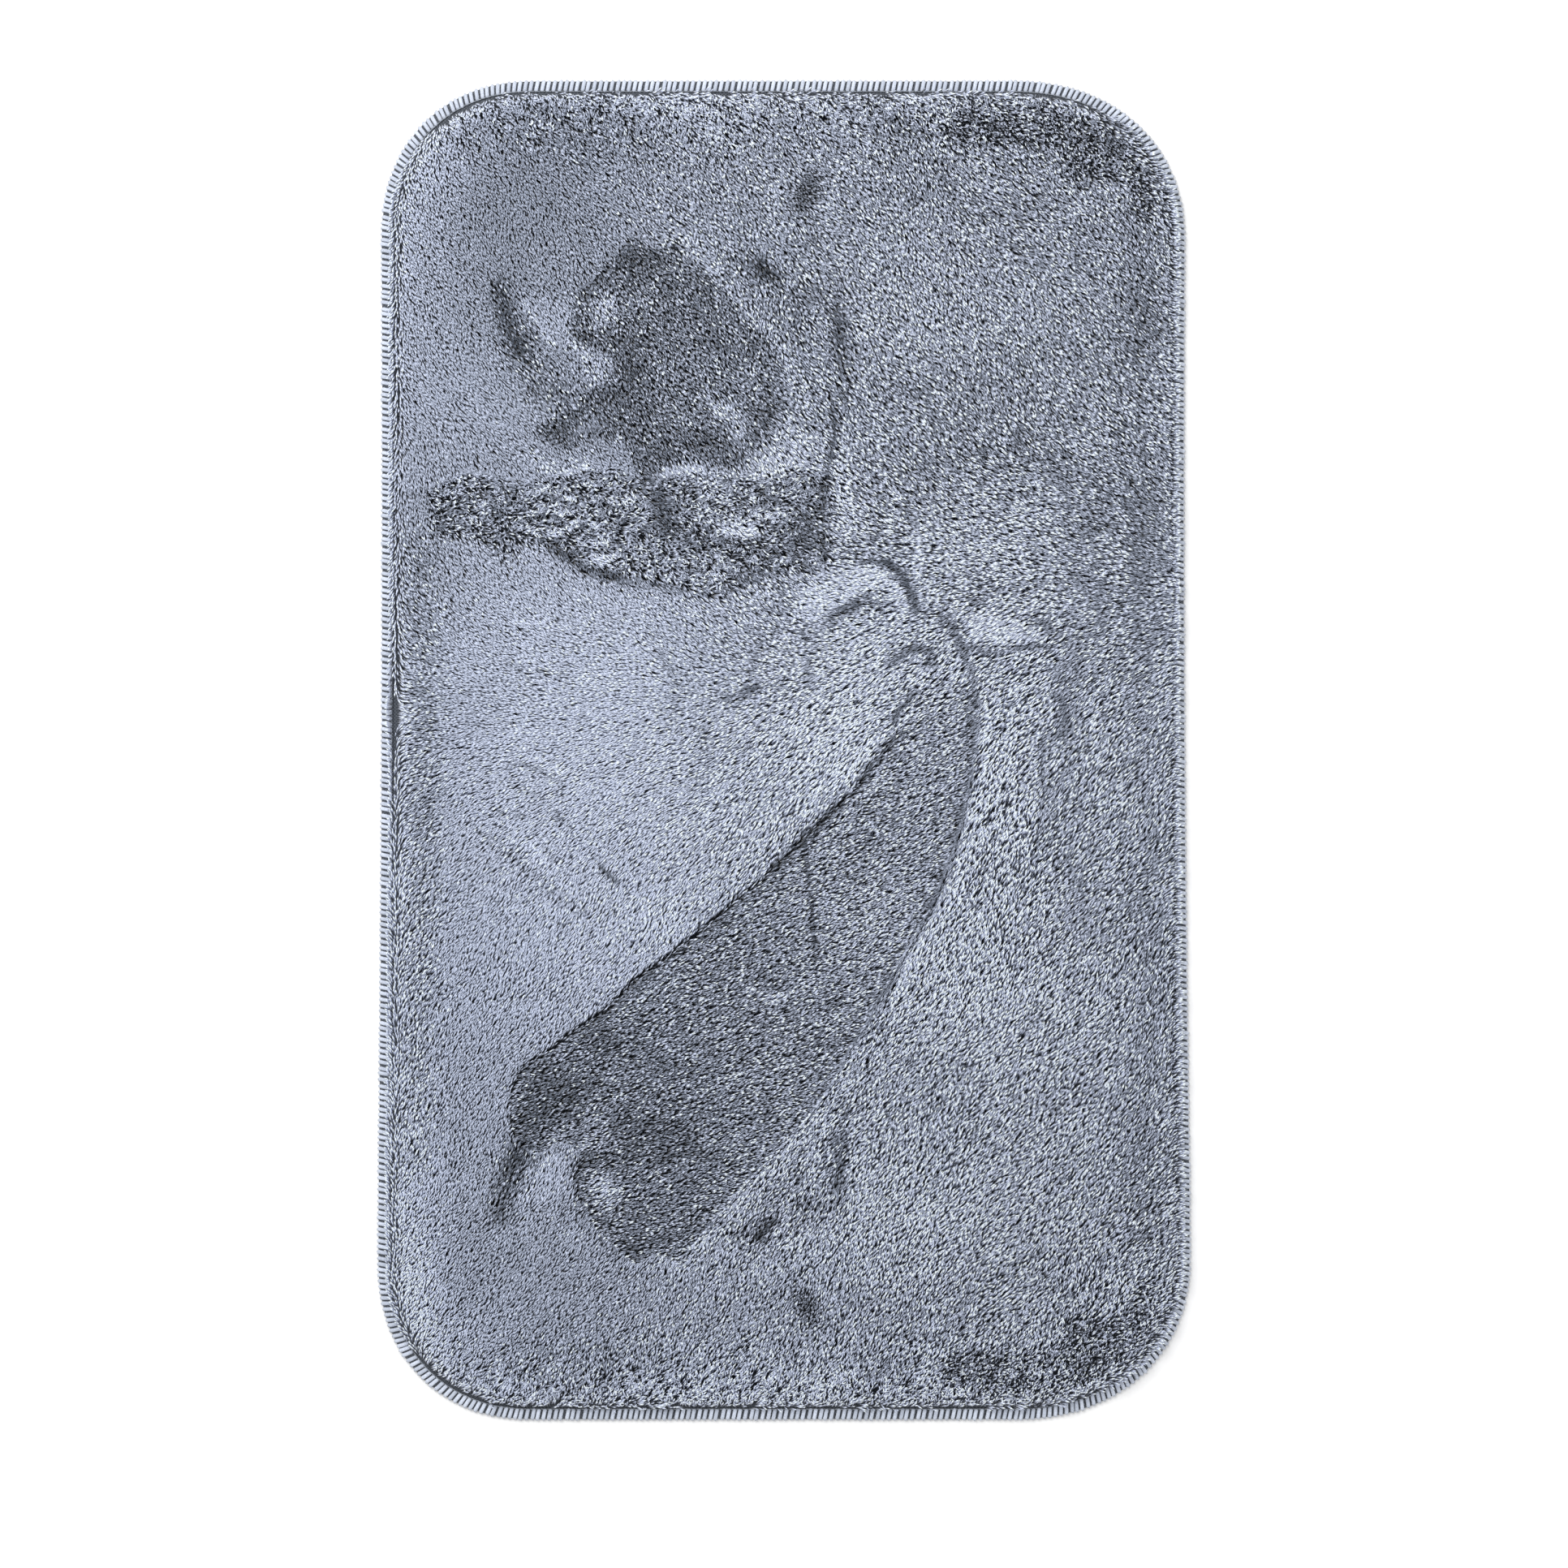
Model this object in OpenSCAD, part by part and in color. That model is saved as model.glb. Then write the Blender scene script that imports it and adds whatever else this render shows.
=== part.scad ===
// Bath mat: a cut-pile panel tufted through a woven base cloth, coated underneath and overlocked
// all round. The mat lies on Z = 0 with its length along Y. The origin is under the middle.

/* [Mat outline] */
// Widest width of the mat, across the end that spreads
mat_w = 607; // [450:1:800]
// Length of the mat
mat_l = 1000; // [700:1:1400]
// Rounding of the left corners, as the half-axes of a quarter oval, X then Y
corner_left = [115, 118]; // [60:1:160]
// Rounding of the right corners, which are cut a little fuller
corner_right = [132, 121]; // [60:1:160]
// Exponent of the corner ovals, where 2 is a plain ellipse and more is squarer
corner_power = 2.17; // [1.8:0.01:3]
// How far the left side pulls in at its waist
waist_left = 2.9; // [0:0.1:10]
// How far the right side pulls in at its waist
waist_right = 4.5; // [0:0.1:10]
// Where the waists lie, as a share of the half length towards +Y
waist_at = 0.38; // [-0.6:0.01:0.6]
// How far the waists reach either way, as a share of the half length
waist_reach = 1.05; // [0.6:0.01:1.6]

/* [Layers] */
// Height of the grip studs
stud_h = 1; // [0.5:0.1:2]
// Thickness of the rubbery grip coat
grip_t = 0.8; // [0.4:0.1:2]
// Thickness of the latex that locks the tufts
latex_t = 0.5; // [0.3:0.1:1.5]
// Thickness of the woven base cloth
cloth_t = 0.7; // [0.3:0.1:1.5]
// Height of the pile above the base cloth
pile_h = 16; // [8:0.5:30]

/* [Pile] */
// How far the overhanging pile stays inside the outline
pile_inset = 1.5; // [0.5:0.1:5]
// Width of the rounded shoulder of the pile
shoulder = 15; // [6:0.5:30]

/* [Overlock] */
// Width of the stitched band, from the outline to the needle line
band_w = 8; // [5:0.5:12]
// Thickness of one thread of the band
thread_t = 0.9; // [0.5:0.1:1.5]
// Width of the needle thread's line
needle_w = 1; // [0.6:0.1:2]

/* [Grip studs] */
// Diameter of a grip stud
stud_d = 6; // [3:0.5:10]
// Distance between the studs of a row, and between every second row
stud_pitch = 30; // [20:1:60]
// Bare margin between the outline and the outermost studs
stud_margin = 20; // [15:1:60]

/* [Care label] */
// Width of the folded label along the mat's edge
label_w = 34; // [20:1:50]
// Length of the folded label from the edge inwards
label_l = 45; // [25:1:70]
// Thickness of both layers of the label together
label_t = 0.5; // [0.3:0.05:0.5]

/* [Hidden] */

corner_steps = 20;
pile_corner_steps = 14;
side_steps = 8;
shoulder_steps = 5;
fine = 32;

grip_z = stud_h;
latex_z = grip_z + grip_t;
cloth_z = latex_z + latex_t;
panel_top = cloth_z + cloth_t;
panel_inset = thread_t;
edge_mid_z = (grip_z + panel_top) / 2;
pile_root_inset = band_w + needle_w;
label_x = -mat_w / 4;
label_y = -mat_l / 2 + band_w;

// A signed power, which keeps an oval's four quarters apart.
function signed_pow(v, p) = sign(v) * pow(abs(v), p);

// How far a point at height y is pulled towards the middle, by the waist on its own side.
function waist(x, y) =
    (x < 0 ? waist_left : waist_right)
    * max(0, 1 - pow((2 * y / mat_l - waist_at) / waist_reach, 2));

// Moves a point of the plain rounded rectangle inwards, in proportion to its distance from the axis.
function pulled(p) = [p[0] * (1 - waist(p[0], p[1]) / (mat_w / 2)), p[1]];

// One quarter oval. sx and sy are the signs of its corner, and it runs from angle a0 over 90 degrees.
function corner(sx, sy, a0, inset, steps) =
    let (
        half = (sx < 0 ? corner_left : corner_right) - [inset, inset],
        mid = [sx * (mat_w / 2 - inset - half[0]), sy * (mat_l / 2 - inset - half[1])]
    )
    [
        for (i = [0 : steps])
            let (a = a0 + 90 * i / steps)
            mid + [
                half[0] * signed_pow(cos(a), 2 / corner_power),
                half[1] * signed_pow(sin(a), 2 / corner_power)
            ]
    ];

// The points strictly between two ends of a long side, so that its waist is a curve.
function side(from, to) = [for (i = [1 : side_steps - 1]) from + (to - from) * i / side_steps];

// The mat's outline, moved inwards by inset, anticlockwise from the middle of the right side.
function outline(inset, steps = corner_steps) =
    let (
        ne = corner(1, 1, 0, inset, steps),
        nw = corner(-1, 1, 90, inset, steps),
        sw = corner(-1, -1, 180, inset, steps),
        se = corner(1, -1, 270, inset, steps),
        ring = concat(ne, nw, side(nw[steps], sw[0]), sw, se, side(se[steps], ne[0]))
    )
    [for (p = ring) pulled(p)];

// A flat layer of the mat.
module layer(z, t, inset) {
    translate([0, 0, z])
        linear_extrude(t)
            polygon(outline(inset));
}

// A flat band that follows the outline, between two insets.
module band(z, t, outer, inner) {
    translate([0, 0, z])
        linear_extrude(t)
            difference() {
                polygon(outline(outer));
                polygon(outline(inner));
            }
}

// A closed solid through rings of points, each ring a list of [x, y] with its height in zs.
module lofted(rings, zs) {
    n = len(rings[0]);
    last = len(rings) - 1;
    points = [for (k = [0 : last]) for (p = rings[k]) [p[0], p[1], zs[k]]];
    walls = [
        for (k = [0 : last - 1]) for (i = [0 : n - 1])
            let (a = k * n + i, b = k * n + (i + 1) % n)
            each [[a, a + n, b], [b, a + n, b + n]]
    ];
    bottom = [[for (i = [0 : n - 1]) i]];
    top = [[for (i = [n - 1 : -1 : 0]) last * n + i]];
    polyhedron(points, concat(bottom, walls, top), convexity = 4);
}

module grip_studs() {
    across = floor((mat_w / 2 - stud_margin) / stud_pitch);
    along = floor((mat_l - 2 * stud_margin) / stud_pitch);
    color("gainsboro")
        for (row = [-along : along])
            for (k = [-across : across]) {
                x = (k + (row % 2 == 0 ? 0 : 0.5)) * stud_pitch;
                y = row * stud_pitch / 2;
                if (stud_fits(x, y))
                    translate([x, y, 0])
                        cylinder(h = stud_h, d = stud_d, $fn = fine);
            }
}

// A stud is left out near a corner, past the margin, and under the label.
function stud_fits(x, y) =
    let (
        half = (x < 0 ? corner_left : corner_right) - [stud_margin, stud_margin],
        past = [
            max(0, abs(x) - (mat_w / 2 - stud_margin - half[0])) / half[0],
            max(0, abs(y) - (mat_l / 2 - stud_margin - half[1])) / half[1]
        ],
        on_label = abs(x - label_x) < label_w / 2 + stud_d && y < label_y + label_l + stud_d
    )
    pow(past[0], corner_power) + pow(past[1], corner_power) < 1 && !on_label;

module grip_coat() {
    color("whitesmoke") layer(grip_z, grip_t, panel_inset);
}

module latex_tie_coat() {
    color("ivory") layer(latex_z, latex_t, panel_inset);
}

module base_cloth() {
    color("dimgray") layer(cloth_z, cloth_t, panel_inset);
}

// The pile stands inside the stitched band, leans out over it and rounds off at the top.
module pile() {
    waist_z = panel_top + thread_t + 0.3;
    turns = [for (i = [0 : shoulder_steps]) 90 * i / shoulder_steps];
    insets = concat(
        [pile_root_inset, pile_root_inset],
        [for (a = turns) pile_inset + shoulder * (1 - cos(a))]
    );
    zs = concat(
        [panel_top, waist_z],
        [for (a = turns) panel_top + pile_h * (0.4 + 0.6 * sin(a))]
    );
    color("lightslategray")
        lofted([for (d = insets) outline(d, pile_corner_steps)], zs);
}

module overlock_lower_thread() {
    color("darkgray") {
        band(0, grip_z, panel_inset, band_w);
        band(0, edge_mid_z, 0, panel_inset);
    }
}

module overlock_upper_thread() {
    color("silver") {
        band(panel_top, thread_t, panel_inset, band_w);
        band(edge_mid_z, panel_top + thread_t - edge_mid_z, 0, panel_inset);
    }
}

module overlock_needle_thread() {
    color("gray") band(panel_top, thread_t, band_w, band_w + needle_w);
}

// The label is folded double, and its raw ends are caught in the stitched band.
module care_label() {
    color("white")
        translate([label_x - label_w / 2, label_y, grip_z - label_t])
            cube([label_w, label_l, label_t]);
}

grip_studs();
grip_coat();
latex_tie_coat();
base_cloth();
pile();
overlock_lower_thread();
overlock_upper_thread();
overlock_needle_thread();
care_label();
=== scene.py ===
import math

import bpy
import numpy as np
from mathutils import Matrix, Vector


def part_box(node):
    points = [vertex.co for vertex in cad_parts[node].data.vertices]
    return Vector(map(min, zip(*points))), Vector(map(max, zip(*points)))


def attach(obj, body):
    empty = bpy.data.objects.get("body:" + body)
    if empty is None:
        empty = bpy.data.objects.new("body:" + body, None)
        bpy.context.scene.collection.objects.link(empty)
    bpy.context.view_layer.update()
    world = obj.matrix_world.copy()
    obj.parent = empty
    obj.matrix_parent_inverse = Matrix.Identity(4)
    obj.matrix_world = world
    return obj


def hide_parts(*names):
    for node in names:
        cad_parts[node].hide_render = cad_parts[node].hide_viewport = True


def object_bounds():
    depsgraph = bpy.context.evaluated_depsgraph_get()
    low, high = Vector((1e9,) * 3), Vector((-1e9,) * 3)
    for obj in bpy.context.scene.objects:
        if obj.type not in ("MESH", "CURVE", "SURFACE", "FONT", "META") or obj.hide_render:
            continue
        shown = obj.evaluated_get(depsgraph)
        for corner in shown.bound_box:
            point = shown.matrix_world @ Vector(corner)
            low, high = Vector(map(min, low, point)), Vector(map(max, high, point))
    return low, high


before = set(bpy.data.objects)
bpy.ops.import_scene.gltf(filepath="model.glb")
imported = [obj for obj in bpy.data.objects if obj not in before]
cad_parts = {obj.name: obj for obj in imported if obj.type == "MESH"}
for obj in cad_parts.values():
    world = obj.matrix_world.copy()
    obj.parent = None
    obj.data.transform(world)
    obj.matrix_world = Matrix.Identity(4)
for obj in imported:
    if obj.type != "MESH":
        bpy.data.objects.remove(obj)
cad_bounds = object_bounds()


# ---------------------------------------------------------------------------------- base cloth
# The plain woven polyester sheet that the whole mat is built on, cut to the mat's outline. The
# tufting needles push the pile yarn through it, so it shows only as a dark ground between tufts.

MM = 0.001
MAT_WIDTH = cad_bounds[1][0] - cad_bounds[0][0]
MAT_LENGTH = cad_bounds[1][1] - cad_bounds[0][1]
CORNER_LEFT = (115 * MM, 118 * MM)
CORNER_RIGHT = (132 * MM, 121 * MM)
CORNER_POWER = 2.17
WAIST_LEFT = 2.9 * MM
WAIST_RIGHT = 4.5 * MM
WAIST_AT = 0.38
WAIST_REACH = 1.05
CLOTH_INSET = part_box("base_cloth")[0][0] - cad_bounds[0][0]
CLOTH_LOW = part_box("base_cloth")[0][2]
CLOTH_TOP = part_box("base_cloth")[1][2]
CLOTH_YARN = 1.3 * MM
CLOTH_RIPPLE = 0.1 * MM
SIDE_STEPS = 32


def waist_pull(x, y):
    """How far a side is pulled in at height y: a parabola, deepest at the waist and 0 past its reach."""
    depth = np.where(x < 0, WAIST_LEFT, WAIST_RIGHT)
    return depth * np.maximum(0, 1 - ((2 * y / MAT_LENGTH - WAIST_AT) / WAIST_REACH) ** 2)


def mat_outline(inset, steps=60):
    """The closed outline, moved inwards by inset: quarter ovals |x/a|^p + |y/b|^p = 1 at the
    corners, joined by straight ends and by sides that waist_pull bends in."""
    turn = np.linspace(0, math.pi / 2, steps)
    arc = np.stack([np.cos(turn), np.sin(turn)], 1) ** (2 / CORNER_POWER)
    ring = []
    for sx, sy in ((1, 1), (-1, 1), (-1, -1), (1, -1)):
        half = np.array(CORNER_LEFT if sx < 0 else CORNER_RIGHT) - inset
        centre = np.array([MAT_WIDTH / 2, MAT_LENGTH / 2]) - inset - half
        quarter = (centre + half * arc) * (sx, sy)
        ring.append(quarter if sx * sy > 0 else quarter[::-1])
        if sy == sx:
            continue
        far_end = np.array([quarter[0][0], -quarter[0][1]])
        ring.append(np.linspace(quarter[0], far_end, SIDE_STEPS)[1:-1])
    ring = np.concatenate(ring)
    ring[:, 0] *= 1 - waist_pull(ring[:, 0], ring[:, 1]) / (MAT_WIDTH / 2)
    return ring


def even_path(ring, count):
    """count places at equal steps along a closed ring: points, unit directions, outward normals."""
    closed = np.vstack([ring, ring[:1]])
    run = np.concatenate([[0], np.cumsum(np.hypot(*np.diff(closed, axis=0).T))])
    at = np.arange(count) * run[-1] / count
    points = np.stack([np.interp(at, run, closed[:, k]) for k in (0, 1)], 1)
    along = np.roll(points, -1, 0) - np.roll(points, 1, 0)
    along /= np.hypot(along[:, 0], along[:, 1])[:, None]
    return points, along, np.stack([along[:, 1], -along[:, 0]], 1)


def make_piece(name, points, faces, material, smooth=True):
    """A mesh object from an array of points and an array of faces of equal size."""
    mesh = bpy.data.meshes.new(name)
    mesh.vertices.add(len(points))
    mesh.vertices.foreach_set("co", np.ascontiguousarray(points, np.float32).ravel())
    mesh.loops.add(faces.size)
    mesh.loops.foreach_set("vertex_index", np.ascontiguousarray(faces, np.int32).ravel())
    mesh.polygons.add(len(faces))
    mesh.polygons.foreach_set("loop_start", np.arange(len(faces), dtype=np.int32) * faces.shape[1])
    mesh.update(calc_edges=True)
    mesh.polygons.foreach_set("use_smooth", np.full(len(faces), smooth))
    mesh.materials.append(material)
    piece = bpy.data.objects.new(name, mesh)
    bpy.context.scene.collection.objects.link(piece)
    return piece


def ring_quads(rings, sides):
    """Quads between each ring of points and the next one, all the way round."""
    k, i = np.meshgrid(np.arange(rings - 1), np.arange(sides), indexing="ij")
    a, b = k * sides + i, k * sides + (i + 1) % sides
    return np.stack([a, b, b + sides, a + sides], -1).reshape(-1, 4)


def new_material(name, roughness, sheen=0.0, specular=0.3):
    """A Principled material, with its node tree and shader."""
    material = bpy.data.materials.new(name)
    material.use_nodes = True
    tree = material.node_tree
    shader = tree.nodes["Principled BSDF"]
    shader.inputs["Roughness"].default_value = roughness
    shader.inputs["Sheen Weight"].default_value = sheen
    shader.inputs["Specular IOR Level"].default_value = specular
    return material, tree, shader


def node(tree, kind, **settings):
    """A new node, with its properties and its inputs set by name."""
    made = tree.nodes.new(kind)
    for key, value in settings.items():
        if key in made.inputs:
            made.inputs[key].default_value = value
        else:
            setattr(made, key, value)
    return made


def colour_ramp(tree, source, stops):
    """A colour ramp on a source socket, with its stops as (place, colour)."""
    ramp = node(tree, "ShaderNodeValToRGB")
    while len(ramp.color_ramp.elements) < len(stops):
        ramp.color_ramp.elements.new(0.5)
    for element, (place, colour) in zip(ramp.color_ramp.elements, stops):
        element.position = place
        element.color = (*colour, 1)
    tree.links.new(source, ramp.inputs["Fac"])
    return ramp.outputs["Color"]


def woven(tree, pitch):
    """A plain weave on Object coordinates: sine ribs along X times sine ribs along Y, so that crowns
    and hollows take turns both ways. Returns the height, from 0 to 1."""
    place = node(tree, "ShaderNodeTexCoord").outputs["Object"]
    turned = node(tree, "ShaderNodeMapping")
    turned.inputs["Scale"].default_value = (1 / pitch, 1 / pitch, 1)
    tree.links.new(place, turned.inputs["Vector"])
    split = node(tree, "ShaderNodeSeparateXYZ")
    tree.links.new(turned.outputs["Vector"], split.inputs["Vector"])
    ribs = []
    for axis in "XY":
        wave = node(tree, "ShaderNodeMath", operation="SINE")
        scaled = node(tree, "ShaderNodeMath", operation="MULTIPLY")
        scaled.inputs[1].default_value = math.pi
        tree.links.new(split.outputs[axis], scaled.inputs[0])
        tree.links.new(scaled.outputs[0], wave.inputs[0])
        ribs.append(wave.outputs[0])
    crossed = node(tree, "ShaderNodeMath", operation="MULTIPLY")
    tree.links.new(ribs[0], crossed.inputs[0])
    tree.links.new(ribs[1], crossed.inputs[1])
    height = node(tree, "ShaderNodeMapRange")
    height.inputs["From Min"].default_value = -1
    tree.links.new(crossed.outputs[0], height.inputs["Value"])
    return height.outputs["Result"]


def add_bump(tree, shader, height, distance, strength=1.0):
    """A bump of the given real depth on the shader's normal."""
    bump = node(tree, "ShaderNodeBump", Strength=strength, Distance=distance)
    tree.links.new(height, bump.inputs["Height"])
    tree.links.new(bump.outputs["Normal"], shader.inputs["Normal"])


def base_cloth_material():
    """Dark plain weave, a little paler on the crowns of its yarns as painted light, and darker in the hollows
    between them as painted shade.
    """
    material, tree, shader = new_material("base_cloth_weave", 0.85, sheen=0.2)
    height = woven(tree, CLOTH_YARN)
    shade = colour_ramp(tree, height, [(0.0, (0.035, 0.04, 0.05)), (1.0, (0.11, 0.125, 0.15))])
    tree.links.new(shade, shader.inputs["Base Color"])
    add_bump(tree, shader, height, 0.3 * MM)
    return material


def base_cloth_surface(around=240, across=24):
    """The outline shrunk in even steps: from the middle out on the lower face, then back in on the
    upper one. A slow ripple, the product of two sines, lifts both faces alike."""
    rim = even_path(mat_outline(CLOTH_INSET), around)[0]
    share = np.concatenate([np.linspace(0.001, 1, across), np.linspace(1, 0.001, across)])
    level = np.repeat([CLOTH_LOW, CLOTH_TOP], across)
    flat = share[:, None, None] * rim
    ripple = CLOTH_RIPPLE * np.sin(flat[..., 0] * 60) * np.sin(flat[..., 1] * 40)
    points = np.concatenate([flat, (level[:, None] + ripple)[..., None]], -1)
    return points.reshape(-1, 3), ring_quads(2 * across, around)


base_cloth = make_piece("base_cloth_sheet", *base_cloth_surface(), base_cloth_material())
rim = mat_outline(CLOTH_INSET)
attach(base_cloth, "root")
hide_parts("base_cloth")


# ---------------------------------------------------------------------------------------- pile
# Cut tufts of microfibre yarn, tufted in rows through the base cloth: about 355,000 yarn ends. Yarn
# brushed flat looks pale and upright yarn dark under the light, so a brush mark sets both the lay of
# its tufts and the painted light and shade in their colour. The marks are placed in millimetres from
# the middle of the mat.

PILE_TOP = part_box("pile")[1][2]
PILE_HEIGHT = 14.2 * MM
TUFT_GAUGE = 1.26 * MM
TUFT_HALF_WIDTH = 0.5 * MM
TUFT_SHOULDER = 0.82
PILE_INSET = 9.2 * MM
PILE_PIECES = 8
LEAN_LAID = 42
LEAN_UPRIGHT = 14
TIP_REACH = 14 * MM
GRAIN_CELL = 1.7 * MM
GRAIN_SHADE = 0.36
GRAIN_LIFT = 0.5 * MM
random = np.random.default_rng(11)


def soft_noise(x, y, cell, seed):
    """Smooth noise from -1 to 1: seeded random values on a square lattice, blended by smoothstep."""
    table = np.random.default_rng(seed).uniform(-1, 1, (512, 512))
    u, v = x / cell + 200.3, y / cell + 200.7
    i, j = np.floor(u).astype(int), np.floor(v).astype(int)
    s, t = (w * w * (3 - 2 * w) for w in (u - i, v - j))
    i, j, i2, j2 = i % 512, j % 512, (i + 1) % 512, (j + 1) % 512
    low = table[i, j] * (1 - s) + table[i2, j] * s
    return low * (1 - t) + (table[i, j2] * (1 - s) + table[i2, j2] * s) * t


def edge_gap(x, y):
    """Distance in from the outline: the gap to the nearest side or end, and inside a corner's box
    one minus the oval's radius share, times a mean of the corner's half-axes."""
    x = x / (1 - waist_pull(x, y) / (MAT_WIDTH / 2))
    a = np.where(x < 0, CORNER_LEFT[0], CORNER_RIGHT[0])
    b = np.where(x < 0, CORNER_LEFT[1], CORNER_RIGHT[1])
    gap_x, gap_y = MAT_WIDTH / 2 - np.abs(x), MAT_LENGTH / 2 - np.abs(y)
    u, v = np.maximum(0, 1 - gap_x / a), np.maximum(0, 1 - gap_y / b)
    share = (u**CORNER_POWER + v**CORNER_POWER) ** (1 / CORNER_POWER)
    scale = (a * u + b * v) / np.maximum(u + v, 1e-9)
    return np.where((u > 0) & (v > 0), (1 - share) * scale, np.minimum(gap_x, gap_y))


def tuft_feet():
    """The tufting rows run lengthways, a gauge apart both ways and every second row half a gauge
    over, each foot a little off its place, kept where the base cloth is free of the overlock."""
    across = np.arange(-MAT_WIDTH / 2, MAT_WIDTH / 2, TUFT_GAUGE)
    along = np.arange(-MAT_LENGTH / 2, MAT_LENGTH / 2, TUFT_GAUGE)
    x, y = np.meshgrid(across, along, indexing="ij")
    y = y + 0.5 * TUFT_GAUGE * (np.arange(len(across)) % 2)[:, None]
    x, y = (w.ravel() + random.uniform(-0.25, 0.25, w.size) * TUFT_GAUGE for w in (x, y))
    kept = edge_gap(x, y) > PILE_INSET
    return x[kept], y[kept]


def grain_noise(x, y, cell, seed):
    """Noise in square cells, each less the mean of its four neighbours, so that unlike cells lie side
    by side and none gather in blotches."""
    table = np.random.default_rng(seed).normal(0, 1, (1024, 1024))
    table = table - sum(np.roll(table, step, axis) for step in (1, -1) for axis in (0, 1)) / 4
    return 0.9 * table[np.floor(x / cell).astype(int) % 1024, np.floor(y / cell).astype(int) % 1024]


foot_x, foot_y = tuft_feet()
tufts = len(foot_x)
at_x, at_y = foot_x.copy(), foot_y.copy()
shade, crisp, laid, curl, lift = np.zeros((5, tufts))
comb = np.zeros((tufts, 2))


def smooth_line(points, closed=False, per_span=6):
    """A Catmull-Rom curve through points given in millimetres, as points in metres."""
    p = np.array(points, float) * MM
    p = np.vstack([p[-1], p, p[:2]]) if closed else np.vstack([2 * p[0] - p[1], p, 2 * p[-1] - p[-2]])
    t = np.linspace(0, 1, per_span, endpoint=False)[:, None]
    spans = [
        0.5 * (2 * b + (c - a) * t + (2 * a - 5 * b + 4 * c - d) * t**2 + (3 * b - a - 3 * c + d) * t**3)
        for a, b, c, d in zip(p, p[1:], p[2:], p[3:])
    ]
    return np.vstack(spans + [p[-2:-1]])


def line_distance(x, y, line):
    """Each point's distance to the nearest straight piece of a line."""
    nearest = np.full(x.shape, np.inf)
    for (ax, ay), (bx, by) in zip(line, line[1:]):
        dx, dy = bx - ax, by - ay
        t = np.clip(((x - ax) * dx + (y - ay) * dy) / max(dx * dx + dy * dy, 1e-12), 0, 1)
        nearest = np.minimum(nearest, np.hypot(x - ax - t * dx, y - ay - t * dy))
    return nearest


def within(x, y, line):
    """True where a point is inside a closed line, by counting the pieces that cross a ray to +X."""
    inside = np.zeros(x.shape, bool)
    for (ax, ay), (bx, by) in zip(line, line[1:]):
        if ay != by:
            inside ^= ((ay > y) != (by > y)) & (x < ax + (y - ay) * (bx - ax) / (by - ay))
    return inside


def apply_mark(
    near, weight, shade_by=0.0, lay_to=None, comb_to=None, curl_to=None, lift_by=0.0, crisp_to=None
):
    """Blends a mark into the tufts by weight, 0 to 1. A mark of painted light adds to their shade and
    one of painted shade takes a share off it, lift is added, and lay, curl, crispness and combing
    (degrees from +X) pass over to the mark's own."""
    shade[near] += max(shade_by, 0) * weight
    shade[near] *= 1 + min(shade_by, 0) * weight
    if crisp_to is not None:
        crisp[near] += (crisp_to - crisp[near]) * weight
    lift[near] += lift_by * MM * weight
    if lay_to is not None:
        laid[near] += (lay_to - laid[near]) * weight
    if curl_to is not None:
        curl[near] += (curl_to - curl[near]) * weight
    if comb_to is not None:
        aim = np.array([math.cos(math.radians(comb_to)), math.sin(math.radians(comb_to))])
        comb[near] += (aim - comb[near]) * weight[:, None]


def wash(x, y, half_x, half_y, turn=0, **mark):
    """A soft oval mark, full in the middle and fading as exp(-r^2.4)."""
    c, s = math.cos(math.radians(turn)), math.sin(math.radians(turn))
    dx, dy = at_x - x * MM, at_y - y * MM
    r2 = ((dx * c + dy * s) / (half_x * MM)) ** 2 + ((dy * c - dx * s) / (half_y * MM)) ** 2
    near = np.flatnonzero(r2 < 6)
    apply_mark(near, np.exp(-(r2[near] ** 1.2)), **mark)


def near_line(line, reach):
    """Which tufts lie in a line's box, widened by reach."""
    low, high = line.min(0) - reach, line.max(0) + reach
    box = (at_x > low[0]) & (at_x < high[0]) & (at_y > low[1]) & (at_y < high[1])
    return np.flatnonzero(box)


def stroke(points, width, **mark):
    """A soft line through the points, fading as exp(-(distance / width)^2)."""
    line = smooth_line(points)
    near = near_line(line, 2.5 * width * MM)
    gap = line_distance(at_x[near], at_y[near], line) / (width * MM)
    apply_mark(near, np.exp(-(gap**2)), **mark)


def patch(points, soft, **mark):
    """A filled shape with an edge that softens over soft millimetres each way."""
    line = smooth_line(points, closed=True)
    near = near_line(line, 2 * soft * MM)
    gap = line_distance(at_x[near], at_y[near], line)
    gap = np.where(within(at_x[near], at_y[near], line), gap, -gap)
    w = np.clip(0.5 + 0.5 * gap / (soft * MM), 0, 1)
    apply_mark(near, w * w * (3 - 2 * w), **mark)


def mirrored(points, end):
    """The points as they are for end 1, and at the other end of the mat for end -1."""
    return [(x, y * end) for x, y in points]


def strokes(marks, end=1, **also):
    """Several strokes at once, each as (points, width, shade_by). Their tufts stand a little proud, so
    that no neighbour hides them."""
    for points, width, by in marks:
        stroke(mirrored(points, end), width, shade_by=by, lift_by=0.6, **also)


def washes(marks, end=1, **also):
    """Several washes at once, each as (x, y, half_x, half_y, turn, shade_by)."""
    for x, y, half_x, half_y, turn, by in marks:
        wash(x, y * end, half_x, half_y, turn=turn * end, shade_by=by, **also)
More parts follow.
